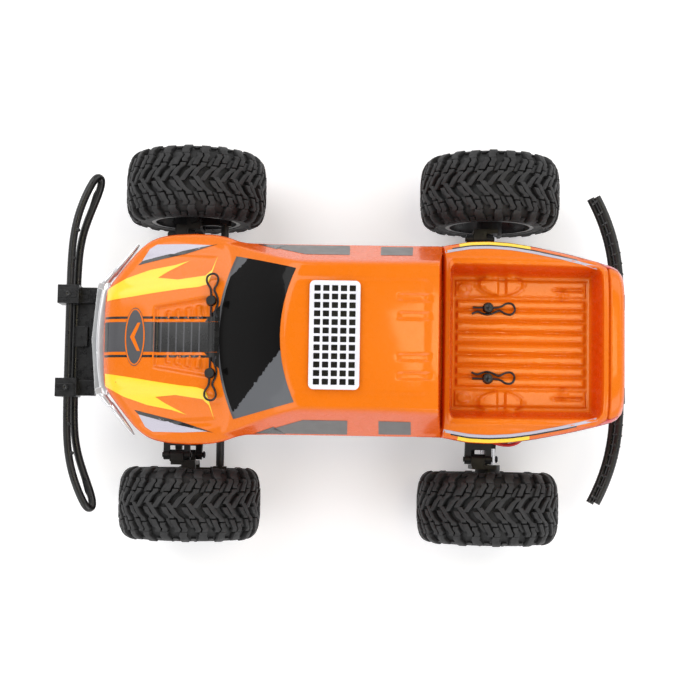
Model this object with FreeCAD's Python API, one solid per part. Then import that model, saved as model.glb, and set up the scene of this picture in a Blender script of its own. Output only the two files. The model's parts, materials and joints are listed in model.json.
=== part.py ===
"""RC monster truck: orange pickup body on an independent-suspension chassis.

Millimetres.  +X points forward, +Y to the left, +Z up.  The origin is on the
ground, midway between the axles.
"""
import FreeCAD, Part
import math
import os

V = FreeCAD.Vector

# ---------------------------------------------------------------- main sizes
WHEELBASE = 179.0
AXLE_X = {"f": WHEELBASE / 2, "r": -WHEELBASE / 2}
TYRE_RADIUS = 42.5
TYRE_WIDTH = 43.5
WHEEL_Y = 94.8
WHEEL_IN = WHEEL_Y - TYRE_WIDTH / 2
WHEEL_OUT = WHEEL_Y + TYRE_WIDTH / 2
AXLE_Z = TYRE_RADIUS
RIM_RADIUS = 27.0
RIM_WALL = 2.4
BEAD_INSET = 1.5
HEX_ACROSS = 12.0

# running fits between a pin or shaft and its hole, on the radius
FIT = 0.05
PIN_R = 1.5
HOLE_R = PIN_R + FIT
SHAFT_R = 2.5
OPEN_PIVOT_GAP = 0.45

# ---------------------------------------------------------------- suspension
ARM_SHIFT = 2.5
ARM_X = {end: AXLE_X[end] + ARM_SHIFT for end in AXLE_X}
ARM_IN_Y = 24.0
ARM_OUT_Y = 66.0
LOWER_IN_Z = 34.0
UPPER_IN_Z = 58.0
ARM_DROP = 4.0
LOWER_OUT_Z = LOWER_IN_Z - ARM_DROP
UPPER_OUT_Z = UPPER_IN_Z - ARM_DROP
BARREL_R = 3.0
LOWER_HALF = 11.0
UPPER_HALF = 5.6
UPPER_SHIFT = 4.5
LUG_HALF = 4.0
EAR_WIDTH = 3.6
SIDE_GAP = 0.3
KINGPIN_Y = 76.0
HUB_BACK_Y = ARM_OUT_Y + BARREL_R + 0.4
HUB_BACK = 2.5
STEER_ARM = 18.0

# ---------------------------------------------------------------- shocks
SHOCK_SHIFT = -11.0
SHOCK_LOW = V(0, 54.0, 38.0)
SHOCK_TOP = V(0, 30.0, 86.0)
SHOCK_LENGTH = (SHOCK_LOW - SHOCK_TOP).Length
SHOCK_BODY_R = 4.4
SHOCK_BODY_END = 31.0
SHOCK_BORE_R = 3.3
PISTON_R = SHOCK_BORE_R - 0.06
SPRING_SEAT_R = 6.6
SPRING_COIL_R = 5.75
SPRING_WIRE_R = 0.6
SPRING_TOP = 12.8
SPRING_BOTTOM = SHOCK_LENGTH - 9.6
SPRING_TURNS = 6.5
EYE_R = 3.6
SHOCK_NECK_R = 2.1
EYE_HALF = 2.0

# ---------------------------------------------------------------- drive line
GEAR_TEETH = 36
PINION_TEETH = 12
MODULE = 0.7
GEAR_Z = AXLE_Z + ARM_DROP
GEAR_Y = 12.0
GEAR_WIDTH = 5.0
BACKLASH = 0.12
MOTOR_RISE = math.radians(10)
GEAR_CENTRES = MODULE * (GEAR_TEETH + PINION_TEETH) / 2 + BACKLASH
MOTOR_X = AXLE_X["r"] + GEAR_CENTRES * math.cos(MOTOR_RISE)
MOTOR_Z = GEAR_Z + GEAR_CENTRES * math.sin(MOTOR_RISE)
MOTOR_R = 11.5
MOTOR_LENGTH = 23.4
CUP_R = 4.5
CUP_BORE_R = 3.3
SHAFT_BALL_R = 2.35
DRIVE_SHAFT_R = 1.6

# ---------------------------------------------------------------- steering
LINK_X = AXLE_X["f"] - STEER_ARM
LINK_Z = LOWER_IN_Z + 16.0
LINK_HALF = 20.5
HORN_LENGTH = 16.0
SERVO_X = LINK_X - HORN_LENGTH

# ---------------------------------------------------------------- chassis
CHASSIS_BOTTOM = 25.0
FLOOR = 3.0
CHASSIS_TOP = CHASSIS_BOTTOM + FLOOR
TUB_HALF = 27.0
TUB_WALL = 2.5
TUB_TOP = 44.0
BULKHEAD_TOP = 62.0
BULKHEAD_HALF_X = 15.0
BULKHEAD_HALF_Y = 19.0
MOUNT_SPACING_X = 40.0
MOUNT_SPACING_Y = 24.0
MOUNT_HOLE_R = 1.6

# ---------------------------------------------------------------- bumpers
BUMPER_Z = 63.0
BUMPER_TUBE_R = 2.1
BUMPER_PITCH = 6.4
CLAMP_Y = 27.5

# ---------------------------------------------------------------- body shell
SKIN = 1.3
SHELL_LOW = 62.0
ARCH_RADIUS = 50.5
ARCH_IN_Y = 30.0
ARCH_OUT_Y = 90.0
BED_FRONT = -63.6
BED_REAR = -141.8
BED_HALF = 37.1
BED_TOP_HALF = 43.5
BED_FLOOR = 96.0
BED_TOP = 116.0
POST_R = 2.5
POST_HOLE_R = 3.0
POSTS = {"f": (72.5, 20.2, 111.2), "r": (-83.5, 20.0, BED_FLOOR)}
CLIP_WIRE_R = 0.6
CLIP_LIFT = 2.2
VENT_X = (-10.4, 17.0)
VENT_HALF = 29.4

# X, lower half width, belt half width, belt height, top half width, top height
SHELL_STATIONS = [
    (-158.3, 40.0, 43.0, 104.0, 40.0, 115.0),
    (-150.0, 43.0, 46.5, 105.0, 44.0, 116.0),
    (-104.0, 52.0, 55.0, 106.0, 50.0, 116.0),
    (-83.0, 54.0, 57.0, 106.0, 51.0, 116.0),
    (-57.0, 53.0, 54.5, 106.0, 50.0, 116.0),
    (-53.0, 53.0, 53.8, 106.0, 39.4, 137.0),
    (-10.0, 53.0, 53.8, 105.0, 39.4, 138.5),
    (24.0, 53.0, 53.8, 104.0, 37.5, 138.0),
    (32.7, 53.0, 53.8, 103.0, 35.5, 137.0),
    (59.0, 53.0, 54.0, 101.0, 42.0, 117.5),
    (67.8, 53.5, 56.0, 99.0, 43.0, 112.0),
    (84.0, 55.0, 60.0, 97.0, 44.0, 110.0),
    (104.0, 54.0, 58.5, 96.0, 42.0, 107.0),
    (118.0, 48.0, 50.0, 93.0, 38.0, 103.0),
    (134.7, 27.0, 28.0, 90.0, 27.0, 98.0),
]


# ---------------------------------------------------------------- helpers
def block(low, high):
    """Box between two corners."""
    size = V(*high) - V(*low)
    return Part.makeBox(size.x, size.y, size.z, V(*low))


def rod(radius, start, end):
    """Round bar from start to end."""
    line = V(*end) - V(*start)
    return Part.makeCylinder(radius, line.Length, V(*start), line)


def tube_ring(outer, inner, start, end):
    """Hollow bar from start to end."""
    return rod(outer, start, end).cut(rod(inner, start, end))


def prism(points, direction):
    """Solid made by moving a flat polygon along a direction."""
    corners = [V(*point) for point in points]
    wire = Part.makePolygon(corners + [corners[0]])
    return Part.Face(wire).extrude(V(*direction))


def join(shapes):
    """One solid from touching or overlapping shapes."""
    whole = shapes[0].fuse(shapes[1:]) if len(shapes) > 1 else shapes[0]
    return whole.removeSplitter()


def cut_all(shape, tools):
    """The shape less every tool."""
    return shape.cut(tools) if tools else shape


def mirrored(shape):
    """The same piece on the other side of the truck."""
    return shape.mirror(V(0, 0, 0), V(0, 1, 0))


def turned(shape):
    """The same piece turned half way round the vertical axis through X = Y = 0."""
    copy = shape.copy()
    copy.rotate(V(0, 0, 0), V(0, 0, 1), 180)
    return copy


def moved(shape, x=0.0, y=0.0, z=0.0):
    """A copy moved by x, y, z."""
    copy = shape.copy()
    copy.translate(V(x, y, z))
    return copy


def bent_tube(radius, route):
    """Round tube along straight runs joined by tangent arcs, with its path length."""
    points = [V(*point) for point in route]
    edges = []
    start = points[0]
    for before, corner, after in zip(points, points[1:], points[2:]):
        run_in = corner - before
        run_out = after - corner
        turn = run_in.getAngle(run_out)
        reach = 0.45 * min(run_in.Length, run_out.Length)
        bend = reach / math.tan(turn / 2)
        into = V(run_in).normalize()
        out = V(run_out).normalize()
        first = corner - into * reach
        last = corner + out * reach
        inward = (out - into).normalize()
        depth = bend * (1 / math.cos(turn / 2) - 1)
        edges.append(Part.LineSegment(start, first).toShape())
        edges.append(Part.Arc(first, corner + inward * depth, last).toShape())
        start = last
        print("bend radius", round(bend, 1))
    edges.append(Part.LineSegment(start, points[-1]).toShape())
    path = Part.Wire(edges)
    ring = Part.Circle(points[0], points[1] - points[0], radius).toShape()
    tube = path.makePipeShell([Part.Wire([ring])], True, True)
    section = math.pi * radius ** 2
    print("tube volume over section times length", round(tube.Volume / (section * path.Length), 4))
    return tube


def save(name, shape):
    """Write one node."""
    solids = shape.Solids
    if not shape.isValid() or not solids:
        print("BAD SHAPE", name)
    shape.exportStep("parts/" + name + ".step")


def save_corner(name, end, shape):
    """Write a left-hand piece and its mirror image."""
    save(name + "_" + end + "l", shape)
    save(name + "_" + end + "r", mirrored(shape))


def save_sides(name, shape):
    """Write a left-hand piece and its mirror image, for pieces at one end only."""
    save(name + "_l", shape)
    save(name + "_r", mirrored(shape))


# ---------------------------------------------------------------- wheels
def tyre(x):
    """Tyre: a solid ring with rounded shoulders and chunky lugs across the tread."""
    shoulder = 5.0
    tread = TYRE_RADIUS
    lug_height = 3.5
    lug_reach = 9.0
    base = tread - lug_height
    bead = RIM_RADIUS + 6.0
    bead_in = WHEEL_IN + BEAD_INSET
    bead_out = WHEEL_OUT - BEAD_INSET
    profile = [
        (RIM_RADIUS, bead_in), (bead, WHEEL_IN), (base - shoulder, WHEEL_IN),
        (base, WHEEL_IN + shoulder), (base, WHEEL_OUT - shoulder),
        (base - shoulder, WHEEL_OUT), (bead, WHEEL_OUT), (RIM_RADIUS, bead_out),
    ]
    wire = Part.makePolygon([V(0, y, r) for r, y in profile + profile[:1]])
    ring = Part.Face(wire).revolve(V(0, 0, 0), V(0, 1, 0), 360)
    lugs = []
    lug_count = 26
    lug_half = 3.0
    for index in range(lug_count):
        lug = block((-lug_half, WHEEL_IN, base - shoulder), (lug_half, WHEEL_OUT, tread))
        lug.rotate(V(0, 0, 0), V(0, 1, 0), 360.0 * index / lug_count)
        lugs.append(lug)
    outline = [
        (base - lug_reach, WHEEL_IN), (tread - shoulder, WHEEL_IN), (tread, WHEEL_IN + shoulder),
        (tread, WHEEL_OUT - shoulder), (tread - shoulder, WHEEL_OUT), (base - lug_reach, WHEEL_OUT),
    ]
    limit_wire = Part.makePolygon([V(0, y, r) for r, y in outline + outline[:1]])
    limit = Part.Face(limit_wire).revolve(V(0, 0, 0), V(0, 1, 0), 360)
    whole = ring.fuse([lug.common(limit) for lug in lugs])
    return moved(whole, x, 0, AXLE_Z)


RIM_DISC_OUT = WHEEL_OUT - 12.0
RIM_DISC_IN = RIM_DISC_OUT - 3.5
RIM_HUB_R = 7.5
HUB_IN = WHEEL_IN + 13.0
NUT_R = 3.6
NUT_LENGTH = 4.0
AXLE_TIP_Y = RIM_DISC_OUT + 6.0


def rim(x):
    """Wheel rim: barrel, spoked disc and hub with a plain bore."""
    inner = RIM_RADIUS - RIM_WALL
    barrel_in = (0, WHEEL_IN + BEAD_INSET, 0)
    barrel_out = (0, WHEEL_OUT - BEAD_INSET, 0)
    barrel = tube_ring(RIM_RADIUS, inner, barrel_in, barrel_out)
    disc = rod(inner + 0.5, (0, RIM_DISC_IN, 0), (0, RIM_DISC_OUT, 0))
    hub = rod(RIM_HUB_R, (0, HUB_IN, 0), (0, RIM_DISC_OUT + 1.0, 0))
    window_count = 6
    window_r = 4.4
    window_z = 16.0
    windows = []
    for index in range(window_count):
        window = rod(window_r, (0, RIM_DISC_IN - 1, window_z), (0, RIM_DISC_OUT + 1, window_z))
        window.rotate(V(0, 0, 0), V(0, 1, 0), 360.0 * index / window_count)
        windows.append(window)
    bore = rod(SHAFT_R + FIT, (0, HUB_IN - 1, 0), (0, WHEEL_OUT, 0))
    whole = cut_all(join([barrel, disc, hub]), windows + [bore])
    return moved(whole, x, 0, AXLE_Z)


def wheel_nut(x):
    """Six-sided lock nut on the end of the axle, clear of the rim hub."""
    start = RIM_DISC_OUT + 1.1
    corners = []
    for index in range(6):
        angle = math.radians(60 * index)
        corners.append((x + NUT_R * math.cos(angle), start, AXLE_Z + NUT_R * math.sin(angle)))
    nut = prism(corners, (0, NUT_LENGTH, 0))
    return nut.cut(rod(SHAFT_R, (x, start - 1, AXLE_Z), (x, start + NUT_LENGTH + 1, AXLE_Z)))


# ---------------------------------------------------------------- arms
def arm(half, barrel_half, in_z, thickness):
    """Suspension arm at X = 0, from its inner hinge to the outer hinge with a central slot."""
    out_z = in_z - ARM_DROP
    inner = rod(BARREL_R, (-barrel_half, ARM_IN_Y, in_z), (barrel_half, ARM_IN_Y, in_z))
    ear = LUG_HALF + SIDE_GAP
    ear_end = ear + EAR_WIDTH
    outer = rod(BARREL_R, (-ear_end, ARM_OUT_Y, out_z), (ear_end, ARM_OUT_Y, out_z))
    lift = thickness / 2
    web = prism([
        (-half, ARM_IN_Y, in_z - lift), (-ear_end, ARM_OUT_Y, out_z - lift),
        (ear_end, ARM_OUT_Y, out_z - lift), (half, ARM_IN_Y, in_z - lift),
    ], (0, 0, thickness))
    slot_start = ARM_OUT_Y - 5.4
    slot = block((-ear, slot_start, out_z - 6), (ear, ARM_OUT_Y + 6, out_z + 6))
    window = prism([
        (-half * 0.5, ARM_IN_Y + 8, in_z - 6), (-3.0, slot_start - 7, in_z - 6),
        (3.0, slot_start - 7, in_z - 6), (half * 0.5, ARM_IN_Y + 8, in_z - 6),
    ], (0, 0, 12))
    bores = [
        rod(HOLE_R, (-half - 5, ARM_IN_Y, in_z), (half + 5, ARM_IN_Y, in_z)),
        rod(HOLE_R, (-half - 5, ARM_OUT_Y, out_z), (half + 5, ARM_OUT_Y, out_z)),
    ]
    return cut_all(join([inner, outer, web]), [slot, window] + bores)


def lower_arm():
    """Lower arm with the screw that carries the foot of the shock."""
    plain = arm(LOWER_HALF, LOWER_HALF, LOWER_IN_Z, 5.0)
    low = SHOCK_LOW
    wall_x = SHOCK_SHIFT + EYE_HALF + SIDE_GAP
    ear = prism([
        (wall_x, low.y - 7, low.z - 8), (wall_x, low.y + 2, low.z - 8),
        (wall_x, low.y + 1, low.z + 2.5), (wall_x, low.y - 3, low.z + 2.5),
    ], (3.2, 0, 0))
    pin = rod(PIN_R, (SHOCK_SHIFT - EYE_HALF - 0.6, low.y, low.z), (wall_x + 1, low.y, low.z))
    head_x = SHOCK_SHIFT - EYE_HALF - 0.6
    head = rod(2.6, (head_x - 1.4, low.y, low.z), (head_x, low.y, low.z))
    foot = block((wall_x, low.y - 7, low.z - 8.6), (wall_x + 5, low.y + 2, low.z - 5.2))
    return join([plain, ear, foot, pin, head])


def upper_arm():
    """Slim upper arm beside the shock."""
    return arm(UPPER_HALF + 1.5, UPPER_HALF + 1.5, UPPER_IN_Z, 4.0)


# ---------------------------------------------------------------- hubs
def hub_pins():
    """The two hinge pins that the outer ends of the arms turn on."""
    reach = LUG_HALF + SIDE_GAP + EAR_WIDTH + 0.8
    pins = []
    for shift, z in ((0.0, LOWER_OUT_Z), (UPPER_SHIFT, UPPER_OUT_Z)):
        pins.append(rod(PIN_R, (shift - reach, ARM_OUT_Y, z), (shift + reach, ARM_OUT_Y, z)))
    return pins


def hub_lugs():
    """The lugs that fill the slots of the arms, joined by an upright web at X = 0."""
    lugs = []
    for shift, z in ((0.0, LOWER_OUT_Z), (UPPER_SHIFT, UPPER_OUT_Z)):
        low_x = shift - LUG_HALF
        high_x = shift + LUG_HALF
        lugs.append(rod(BARREL_R, (low_x, ARM_OUT_Y, z), (high_x, ARM_OUT_Y, z)))
        lugs.append(block((low_x, ARM_OUT_Y, z - BARREL_R), (high_x, ARM_OUT_Y + 4.0, z + BARREL_R)))
    return lugs


def c_hub():
    """Front hub: a C around the knuckle, with the kingpin screws."""
    shift = -ARM_SHIFT
    back_end = HUB_BACK_Y + HUB_BACK
    back = block((-6.5, HUB_BACK_Y, LOWER_OUT_Z - 2), (8.0, back_end, UPPER_OUT_Z + 2))
    pieces = [back] + hub_lugs() + hub_pins()
    for z, toward in ((LOWER_OUT_Z, 1.0), (UPPER_OUT_Z, -1.0)):
        pieces.append(block((shift - 4.2, back_end - 1, z - 2.0), (shift + 4.2, KINGPIN_Y, z + 2.0)))
        pieces.append(rod(4.2, (shift, KINGPIN_Y, z - 2.0), (shift, KINGPIN_Y, z + 2.0)))
        head = z - toward * 3.4
        tip = z + toward * 5.0
        pieces.append(rod(PIN_R, (shift, KINGPIN_Y, head), (shift, KINGPIN_Y, tip)))
        pieces.append(rod(2.8, (shift, KINGPIN_Y, head), (shift, KINGPIN_Y, z - toward * 1.9)))
    return join(pieces)


def knuckle():
    """Steering knuckle, spindle and nut of a front wheel, in truck coordinates."""
    x = AXLE_X["f"]
    low = LOWER_OUT_Z + 2.0 + SIDE_GAP
    high = UPPER_OUT_Z - 2.0 - SIDE_GAP
    post = rod(3.6, (x, KINGPIN_Y, low), (x, KINGPIN_Y, high))
    boss = rod(5.2, (x, KINGPIN_Y, AXLE_Z), (x, HUB_IN - 0.5, AXLE_Z))
    arm_z = LINK_Z - ARM_DROP
    lever = prism([
        (x - 1.0, KINGPIN_Y - 2.6, arm_z - 5.4), (x - 1.0, KINGPIN_Y + 2.6, arm_z - 5.4),
        (x - STEER_ARM, KINGPIN_Y + 2.2, arm_z - 5.4), (x - STEER_ARM, KINGPIN_Y - 2.2, arm_z - 5.4),
    ], (0, 0, 3.2))
    end = rod(2.9, (x - STEER_ARM, KINGPIN_Y, arm_z - 5.4), (x - STEER_ARM, KINGPIN_Y, arm_z - 2.2))
    stud = rod(PIN_R, (x - STEER_ARM, KINGPIN_Y, arm_z - 3), (x - STEER_ARM, KINGPIN_Y, arm_z + 3.2))
    cap = rod(2.5, (x - STEER_ARM, KINGPIN_Y, arm_z + 2.4), (x - STEER_ARM, KINGPIN_Y, arm_z + 3.4))
    block_part = join([post, boss, lever, end, stud, cap])
    kingpin_hole = rod(HOLE_R, (x, KINGPIN_Y, low - 1), (x, KINGPIN_Y, low + 4.2))
    top_hole = rod(HOLE_R, (x, KINGPIN_Y, high - 4.2), (x, KINGPIN_Y, high + 1))
    spindle_hole = rod(SHAFT_R, (x, KINGPIN_Y, AXLE_Z), (x, HUB_IN, AXLE_Z))
    body = cut_all(block_part, [kingpin_hole, top_hole, spindle_hole])
    spindle = rod(SHAFT_R, (x, KINGPIN_Y, AXLE_Z), (x, AXLE_TIP_Y, AXLE_Z))
    return Part.makeCompound([body, spindle, wheel_nut(x)])


BEARING_R = 3.6


def hub_carrier():
    """Rear hub carrier with the bore that the stub axle turns in, at X = 0 of the arm."""
    shift = -ARM_SHIFT
    back = block((-6.5, HUB_BACK_Y, LOWER_OUT_Z - 2), (8.0, HUB_BACK_Y + HUB_BACK, UPPER_OUT_Z + 2))
    barrel = rod(7.5, (shift, HUB_BACK_Y, AXLE_Z), (shift, HUB_IN - 1.6, AXLE_Z))
    bore = rod(BEARING_R + FIT, (shift, ARM_OUT_Y - 8, AXLE_Z), (shift, HUB_IN + 5, AXLE_Z))
    return join([back, barrel] + hub_lugs() + hub_pins()).cut(bore)


def rear_axle():
    """Rear stub axle: drive cup, bearing journal, hex and nut."""
    x = AXLE_X["r"]
    cup_start = ARM_OUT_Y - 6.4
    cup = rod(CUP_R, (x, cup_start, AXLE_Z), (x, ARM_OUT_Y + 3.0, AXLE_Z))
    hollow = rod(CUP_BORE_R, (x, cup_start - 1, AXLE_Z), (x, ARM_OUT_Y + 1.3, AXLE_Z))
    slot = block((x - 5, cup_start - 1, AXLE_Z - 0.8), (x + 5, ARM_OUT_Y + 1.3, AXLE_Z + 0.8))
    journal = rod(BEARING_R, (x, ARM_OUT_Y + 2.0, AXLE_Z), (x, HUB_IN - 1.0, AXLE_Z))
    corners = []
    for index in range(6):
        angle = math.radians(60 * index)
        radius = HEX_ACROSS / 2 / math.cos(math.radians(30))
        corners.append((x + radius * math.cos(angle), HUB_IN - 1.2, AXLE_Z + radius * math.sin(angle)))
    drive_hex = prism(corners, (0, 1.1, 0))
    stub = rod(SHAFT_R, (x, HUB_IN - 1.0, AXLE_Z), (x, AXLE_TIP_Y, AXLE_Z))
    shaft = join([cup, journal, drive_hex, stub]).cut([hollow, slot])
    return Part.makeCompound([shaft, wheel_nut(x)])


def drive_shaft():
    """Shaft between the gearbox cup and the stub axle cup, with a ball at each end."""
    x = AXLE_X["r"]
    inner = V(x, ARM_IN_Y - 3.5, GEAR_Z)
    outer = V(x, ARM_OUT_Y - 3.5, AXLE_Z)
    middle = rod(DRIVE_SHAFT_R, inner, outer)
    pieces = [middle]
    for end in (inner, outer):
        pieces.append(Part.makeSphere(SHAFT_BALL_R, end))
    return join(pieces)


# ---------------------------------------------------------------- shocks
def shock_point(distance):
    """Point at a distance below the upper shock eye, in the plane X = 0."""
    along = V(SHOCK_LOW - SHOCK_TOP).normalize()
    return SHOCK_TOP + along * distance


def shock_body():
    """Cylinder of the shock with its upper eye and spring collar."""
    eye = rod(EYE_R, (-EYE_HALF, SHOCK_TOP.y, SHOCK_TOP.z), (EYE_HALF, SHOCK_TOP.y, SHOCK_TOP.z))
    barrel = rod(SHOCK_BODY_R, shock_point(3.0), shock_point(SHOCK_BODY_END))
    collar = rod(SPRING_SEAT_R, shock_point(SPRING_TOP - 1.8), shock_point(SPRING_TOP - 0.2))
    hole = rod(HOLE_R, (-9, SHOCK_TOP.y, SHOCK_TOP.z), (9, SHOCK_TOP.y, SHOCK_TOP.z))
    chamber = rod(SHOCK_BORE_R, shock_point(9.0), shock_point(SHOCK_BODY_END - 2.5))
    seal = rod(PIN_R + 0.06, shock_point(20.0), shock_point(SHOCK_BODY_END + 1))
    return join([eye, barrel, collar]).cut([hole, chamber, seal])


def shock_rod():
    """Piston, rod, lower spring seat and lower eye."""
    low = SHOCK_LOW
    piston = rod(PISTON_R, shock_point(16.5), shock_point(19.5))
    bar = rod(PIN_R, shock_point(16.5), shock_point(SHOCK_LENGTH - 2.0))
    seat = rod(SPRING_SEAT_R, shock_point(SPRING_BOTTOM + 0.2), shock_point(SPRING_BOTTOM + 1.8))
    neck = rod(SHOCK_NECK_R, shock_point(SPRING_BOTTOM + 1.0), shock_point(SHOCK_LENGTH - 2.0))
    eye = rod(EYE_R, (-EYE_HALF, low.y, low.z), (EYE_HALF, low.y, low.z))
    hole = rod(PIN_R + OPEN_PIVOT_GAP, (-9, low.y, low.z), (9, low.y, low.z))
    return join([piston, bar, seat, neck, eye]).cut(hole)


def spring():
    """Coil spring between the collar and the seat."""
    height = SPRING_BOTTOM - SPRING_TOP - 2 * SPRING_WIRE_R
    helix = Part.makeHelix(height / SPRING_TURNS, height, SPRING_COIL_R)
    start = V(SPRING_COIL_R, 0, 0)
    ring = Part.Circle(start, V(0, 1, 0), SPRING_WIRE_R).toShape()
    coil = Part.Wire(helix.Edges).makePipeShell([Part.Wire([ring])], True, True)
    along = V(SHOCK_LOW - SHOCK_TOP).normalize()
    turn = FreeCAD.Rotation(V(0, 0, 1), along)
    place = FreeCAD.Placement(shock_point(SPRING_TOP + SPRING_WIRE_R), turn)
    return coil.transformed(place.toMatrix())


def shock_tower(end):
    """Plate that carries the two upper shock pins at one end."""
    x = ARM_X[end] + SHOCK_SHIFT
    plate_x = x + EYE_HALF + SIDE_GAP + 3.6
    top = SHOCK_TOP
    foot_z = BULKHEAD_TOP
    half = [
        (plate_x, 12.0, foot_z), (plate_x, 15.0, foot_z + 10.0), (plate_x, top.y + 4.5, top.z - 5.5),
        (plate_x, top.y + 4.5, top.z + 3.5), (plate_x, top.y - 5.0, top.z + 3.5),
        (plate_x, 8.0, foot_z + 14.0),
    ]
    other = [(px, -py, pz) for px, py, pz in reversed(half)]
    plate = prism(half + other, (2.5, 0, 0))
    foot = block((plate_x, -12.0, foot_z), (plate_x + 7.0, 12.0, foot_z + 2.5))
    pieces = [plate, foot]
    for side in (-1, 1):
        y = side * top.y
        pieces.append(rod(PIN_R, (x - EYE_HALF - 0.6, y, top.z), (plate_x + 1, y, top.z)))
        pieces.append(rod(2.6, (x - EYE_HALF - 2.0, y, top.z), (x - EYE_HALF - 0.6, y, top.z)))
        pieces.append(rod(2.4, (x + EYE_HALF + SIDE_GAP, y, top.z), (plate_x + 1, y, top.z)))
    return join(pieces)


# ---------------------------------------------------------------- bulkheads
def hinge_ears(end):
    """Ears and pins that the inner ends of the arms turn on, on both sides."""
    pieces = []
    rows = ((LOWER_IN_Z, 0.0, LOWER_HALF), (UPPER_IN_Z, UPPER_SHIFT, UPPER_HALF + 1.5))
    for z, shift, half in rows:
        for side in (-1, 1):
            y = side * ARM_IN_Y
            middle = ARM_X[end] + shift
            reach = half + SIDE_GAP
            for way in (-1, 1):
                near = middle + way * reach
                far = middle + way * (reach + 3.0)
                low = (min(near, far), min(side * (BULKHEAD_HALF_Y - 1), y), z - 3.0)
                high = (max(near, far), max(side * (BULKHEAD_HALF_Y - 1), y), z + 3.0)
                pieces.append(block(low, high))
                pieces.append(rod(3.0, (near, y, z), (far, y, z)))
            pieces.append(rod(PIN_R, (middle - reach - 1, y, z), (middle + reach + 1, y, z)))
    return pieces


def front_bulkhead():
    """Front bulkhead with the arm hinges and the platform for the front body posts."""
    x = ARM_X["f"]
    core_low = (x - BULKHEAD_HALF_X, -BULKHEAD_HALF_Y, CHASSIS_TOP)
    core = block(core_low, (x + BULKHEAD_HALF_X, BULKHEAD_HALF_Y, BULKHEAD_TOP))
    wall = 3.0
    hollow = block((x - BULKHEAD_HALF_X + wall, -BULKHEAD_HALF_Y - 1, CHASSIS_TOP + 13),
                   (x + BULKHEAD_HALF_X - wall, BULKHEAD_HALF_Y + 1, UPPER_IN_Z - 6))
    post_x, post_y, post_z = POSTS["f"]
    platform = block((post_x - 5, -post_y - 5, BULKHEAD_TOP - 4), (x - 8, post_y + 5, BULKHEAD_TOP))
    return join([core.cut(hollow), platform] + hinge_ears("f"))


GEARBOX_WALL = 3.0
LID = 1.6
PINION_ROOM_R = 6.4
BOSS_HOLE_R = 4.6


def gearbox_housing():
    """Gearbox: two side plates with bearing bores, front and rear walls and a lid."""
    gear_x = AXLE_X["r"]
    wall = GEARBOX_WALL
    gear_tip = MODULE * (GEAR_TEETH / 2 + 0.9)
    reach = gear_tip + 1.2 + wall
    low = (gear_x - reach, -BULKHEAD_HALF_Y, CHASSIS_TOP)
    high = (gear_x + reach, BULKHEAD_HALF_Y, BULKHEAD_TOP)
    shell = block(low, high)
    room_low = (low[0] + wall, low[1] + wall, low[2] + wall)
    room = block(room_low, (high[0] - wall, high[1] - wall, high[2] - LID))
    bore = rod(CUP_R + FIT, (gear_x, -30, GEAR_Z), (gear_x, 30, GEAR_Z))
    gap_end = (MOTOR_X, GEAR_Y - GEAR_WIDTH, MOTOR_Z)
    motor_gap = rod(MOTOR_R + 0.4, (MOTOR_X, low[1] - 1, MOTOR_Z), gap_end)
    pinion_gap = rod(PINION_ROOM_R, (MOTOR_X, 0, MOTOR_Z), (MOTOR_X, high[1] - wall, MOTOR_Z))
    body = shell.cut([room, bore, motor_gap, pinion_gap])
    plate_y = GEAR_Y - GEAR_WIDTH / 2 - 3.0
    plate_low = (high[0] - 1, plate_y, CHASSIS_TOP)
    plate = block(plate_low, (MOTOR_X + MOTOR_R + 2, plate_y + 2.0, BULKHEAD_TOP))
    boss_hole = rod(BOSS_HOLE_R, (MOTOR_X, plate_y - 1, MOTOR_Z), (MOTOR_X, plate_y + 4, MOTOR_Z))
    plate = plate.cut(boss_hole)
    return join([body, plate] + hinge_ears("r"))


# ---------------------------------------------------------------- drive line
def gear_blank(teeth, width, phase):
    """Spur gear about Y through the origin; phase is the angle of the first tooth from +X."""
    pitch = MODULE * teeth / 2
    root = pitch - 1.2 * MODULE
    tip = pitch + 0.9 * MODULE
    half_root = math.radians(360.0 / teeth) * 0.33
    half_pitch = math.radians(360.0 / teeth) * 0.235
    half_tip = math.radians(360.0 / teeth) * 0.11
    points = []
    for index in range(teeth):
        middle = phase + 2 * math.pi * index / teeth
        steps = ((root, -half_root), (pitch, -half_pitch), (tip, -half_tip),
                 (tip, half_tip), (pitch, half_pitch), (root, half_root))
        for radius, offset in steps:
            angle = middle + offset
            points.append((radius * math.cos(angle), -width / 2, radius * math.sin(angle)))
    return prism(points, (0, width, 0))


def drive_gear():
    """Spur gear on a cross shaft with a drive cup at each end."""
    x = AXLE_X["r"]
    gear = gear_blank(GEAR_TEETH, GEAR_WIDTH, MOTOR_RISE)
    gear = moved(gear, x, GEAR_Y, GEAR_Z)
    end_y = ARM_IN_Y + 3.0
    shaft = rod(CUP_R, (x, -end_y, GEAR_Z), (x, end_y, GEAR_Z))
    tools = []
    for side in (-1, 1):
        tools.append(rod(CUP_BORE_R, (x, side * 14.0, GEAR_Z), (x, side * (end_y + 1), GEAR_Z)))
    return join([gear, shaft]).cut(tools)


def motor_pinion():
    """Pinion, meshed with the drive gear along the line between their centres."""
    half_tooth = math.pi / PINION_TEETH
    phase = MOTOR_RISE + math.pi + half_tooth
    pinion = gear_blank(PINION_TEETH, GEAR_WIDTH, phase)
    bore = rod(1.0 + FIT, (0, -5, 0), (0, 5, 0))
    return moved(pinion.cut(bore), MOTOR_X, GEAR_Y, MOTOR_Z)


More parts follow.
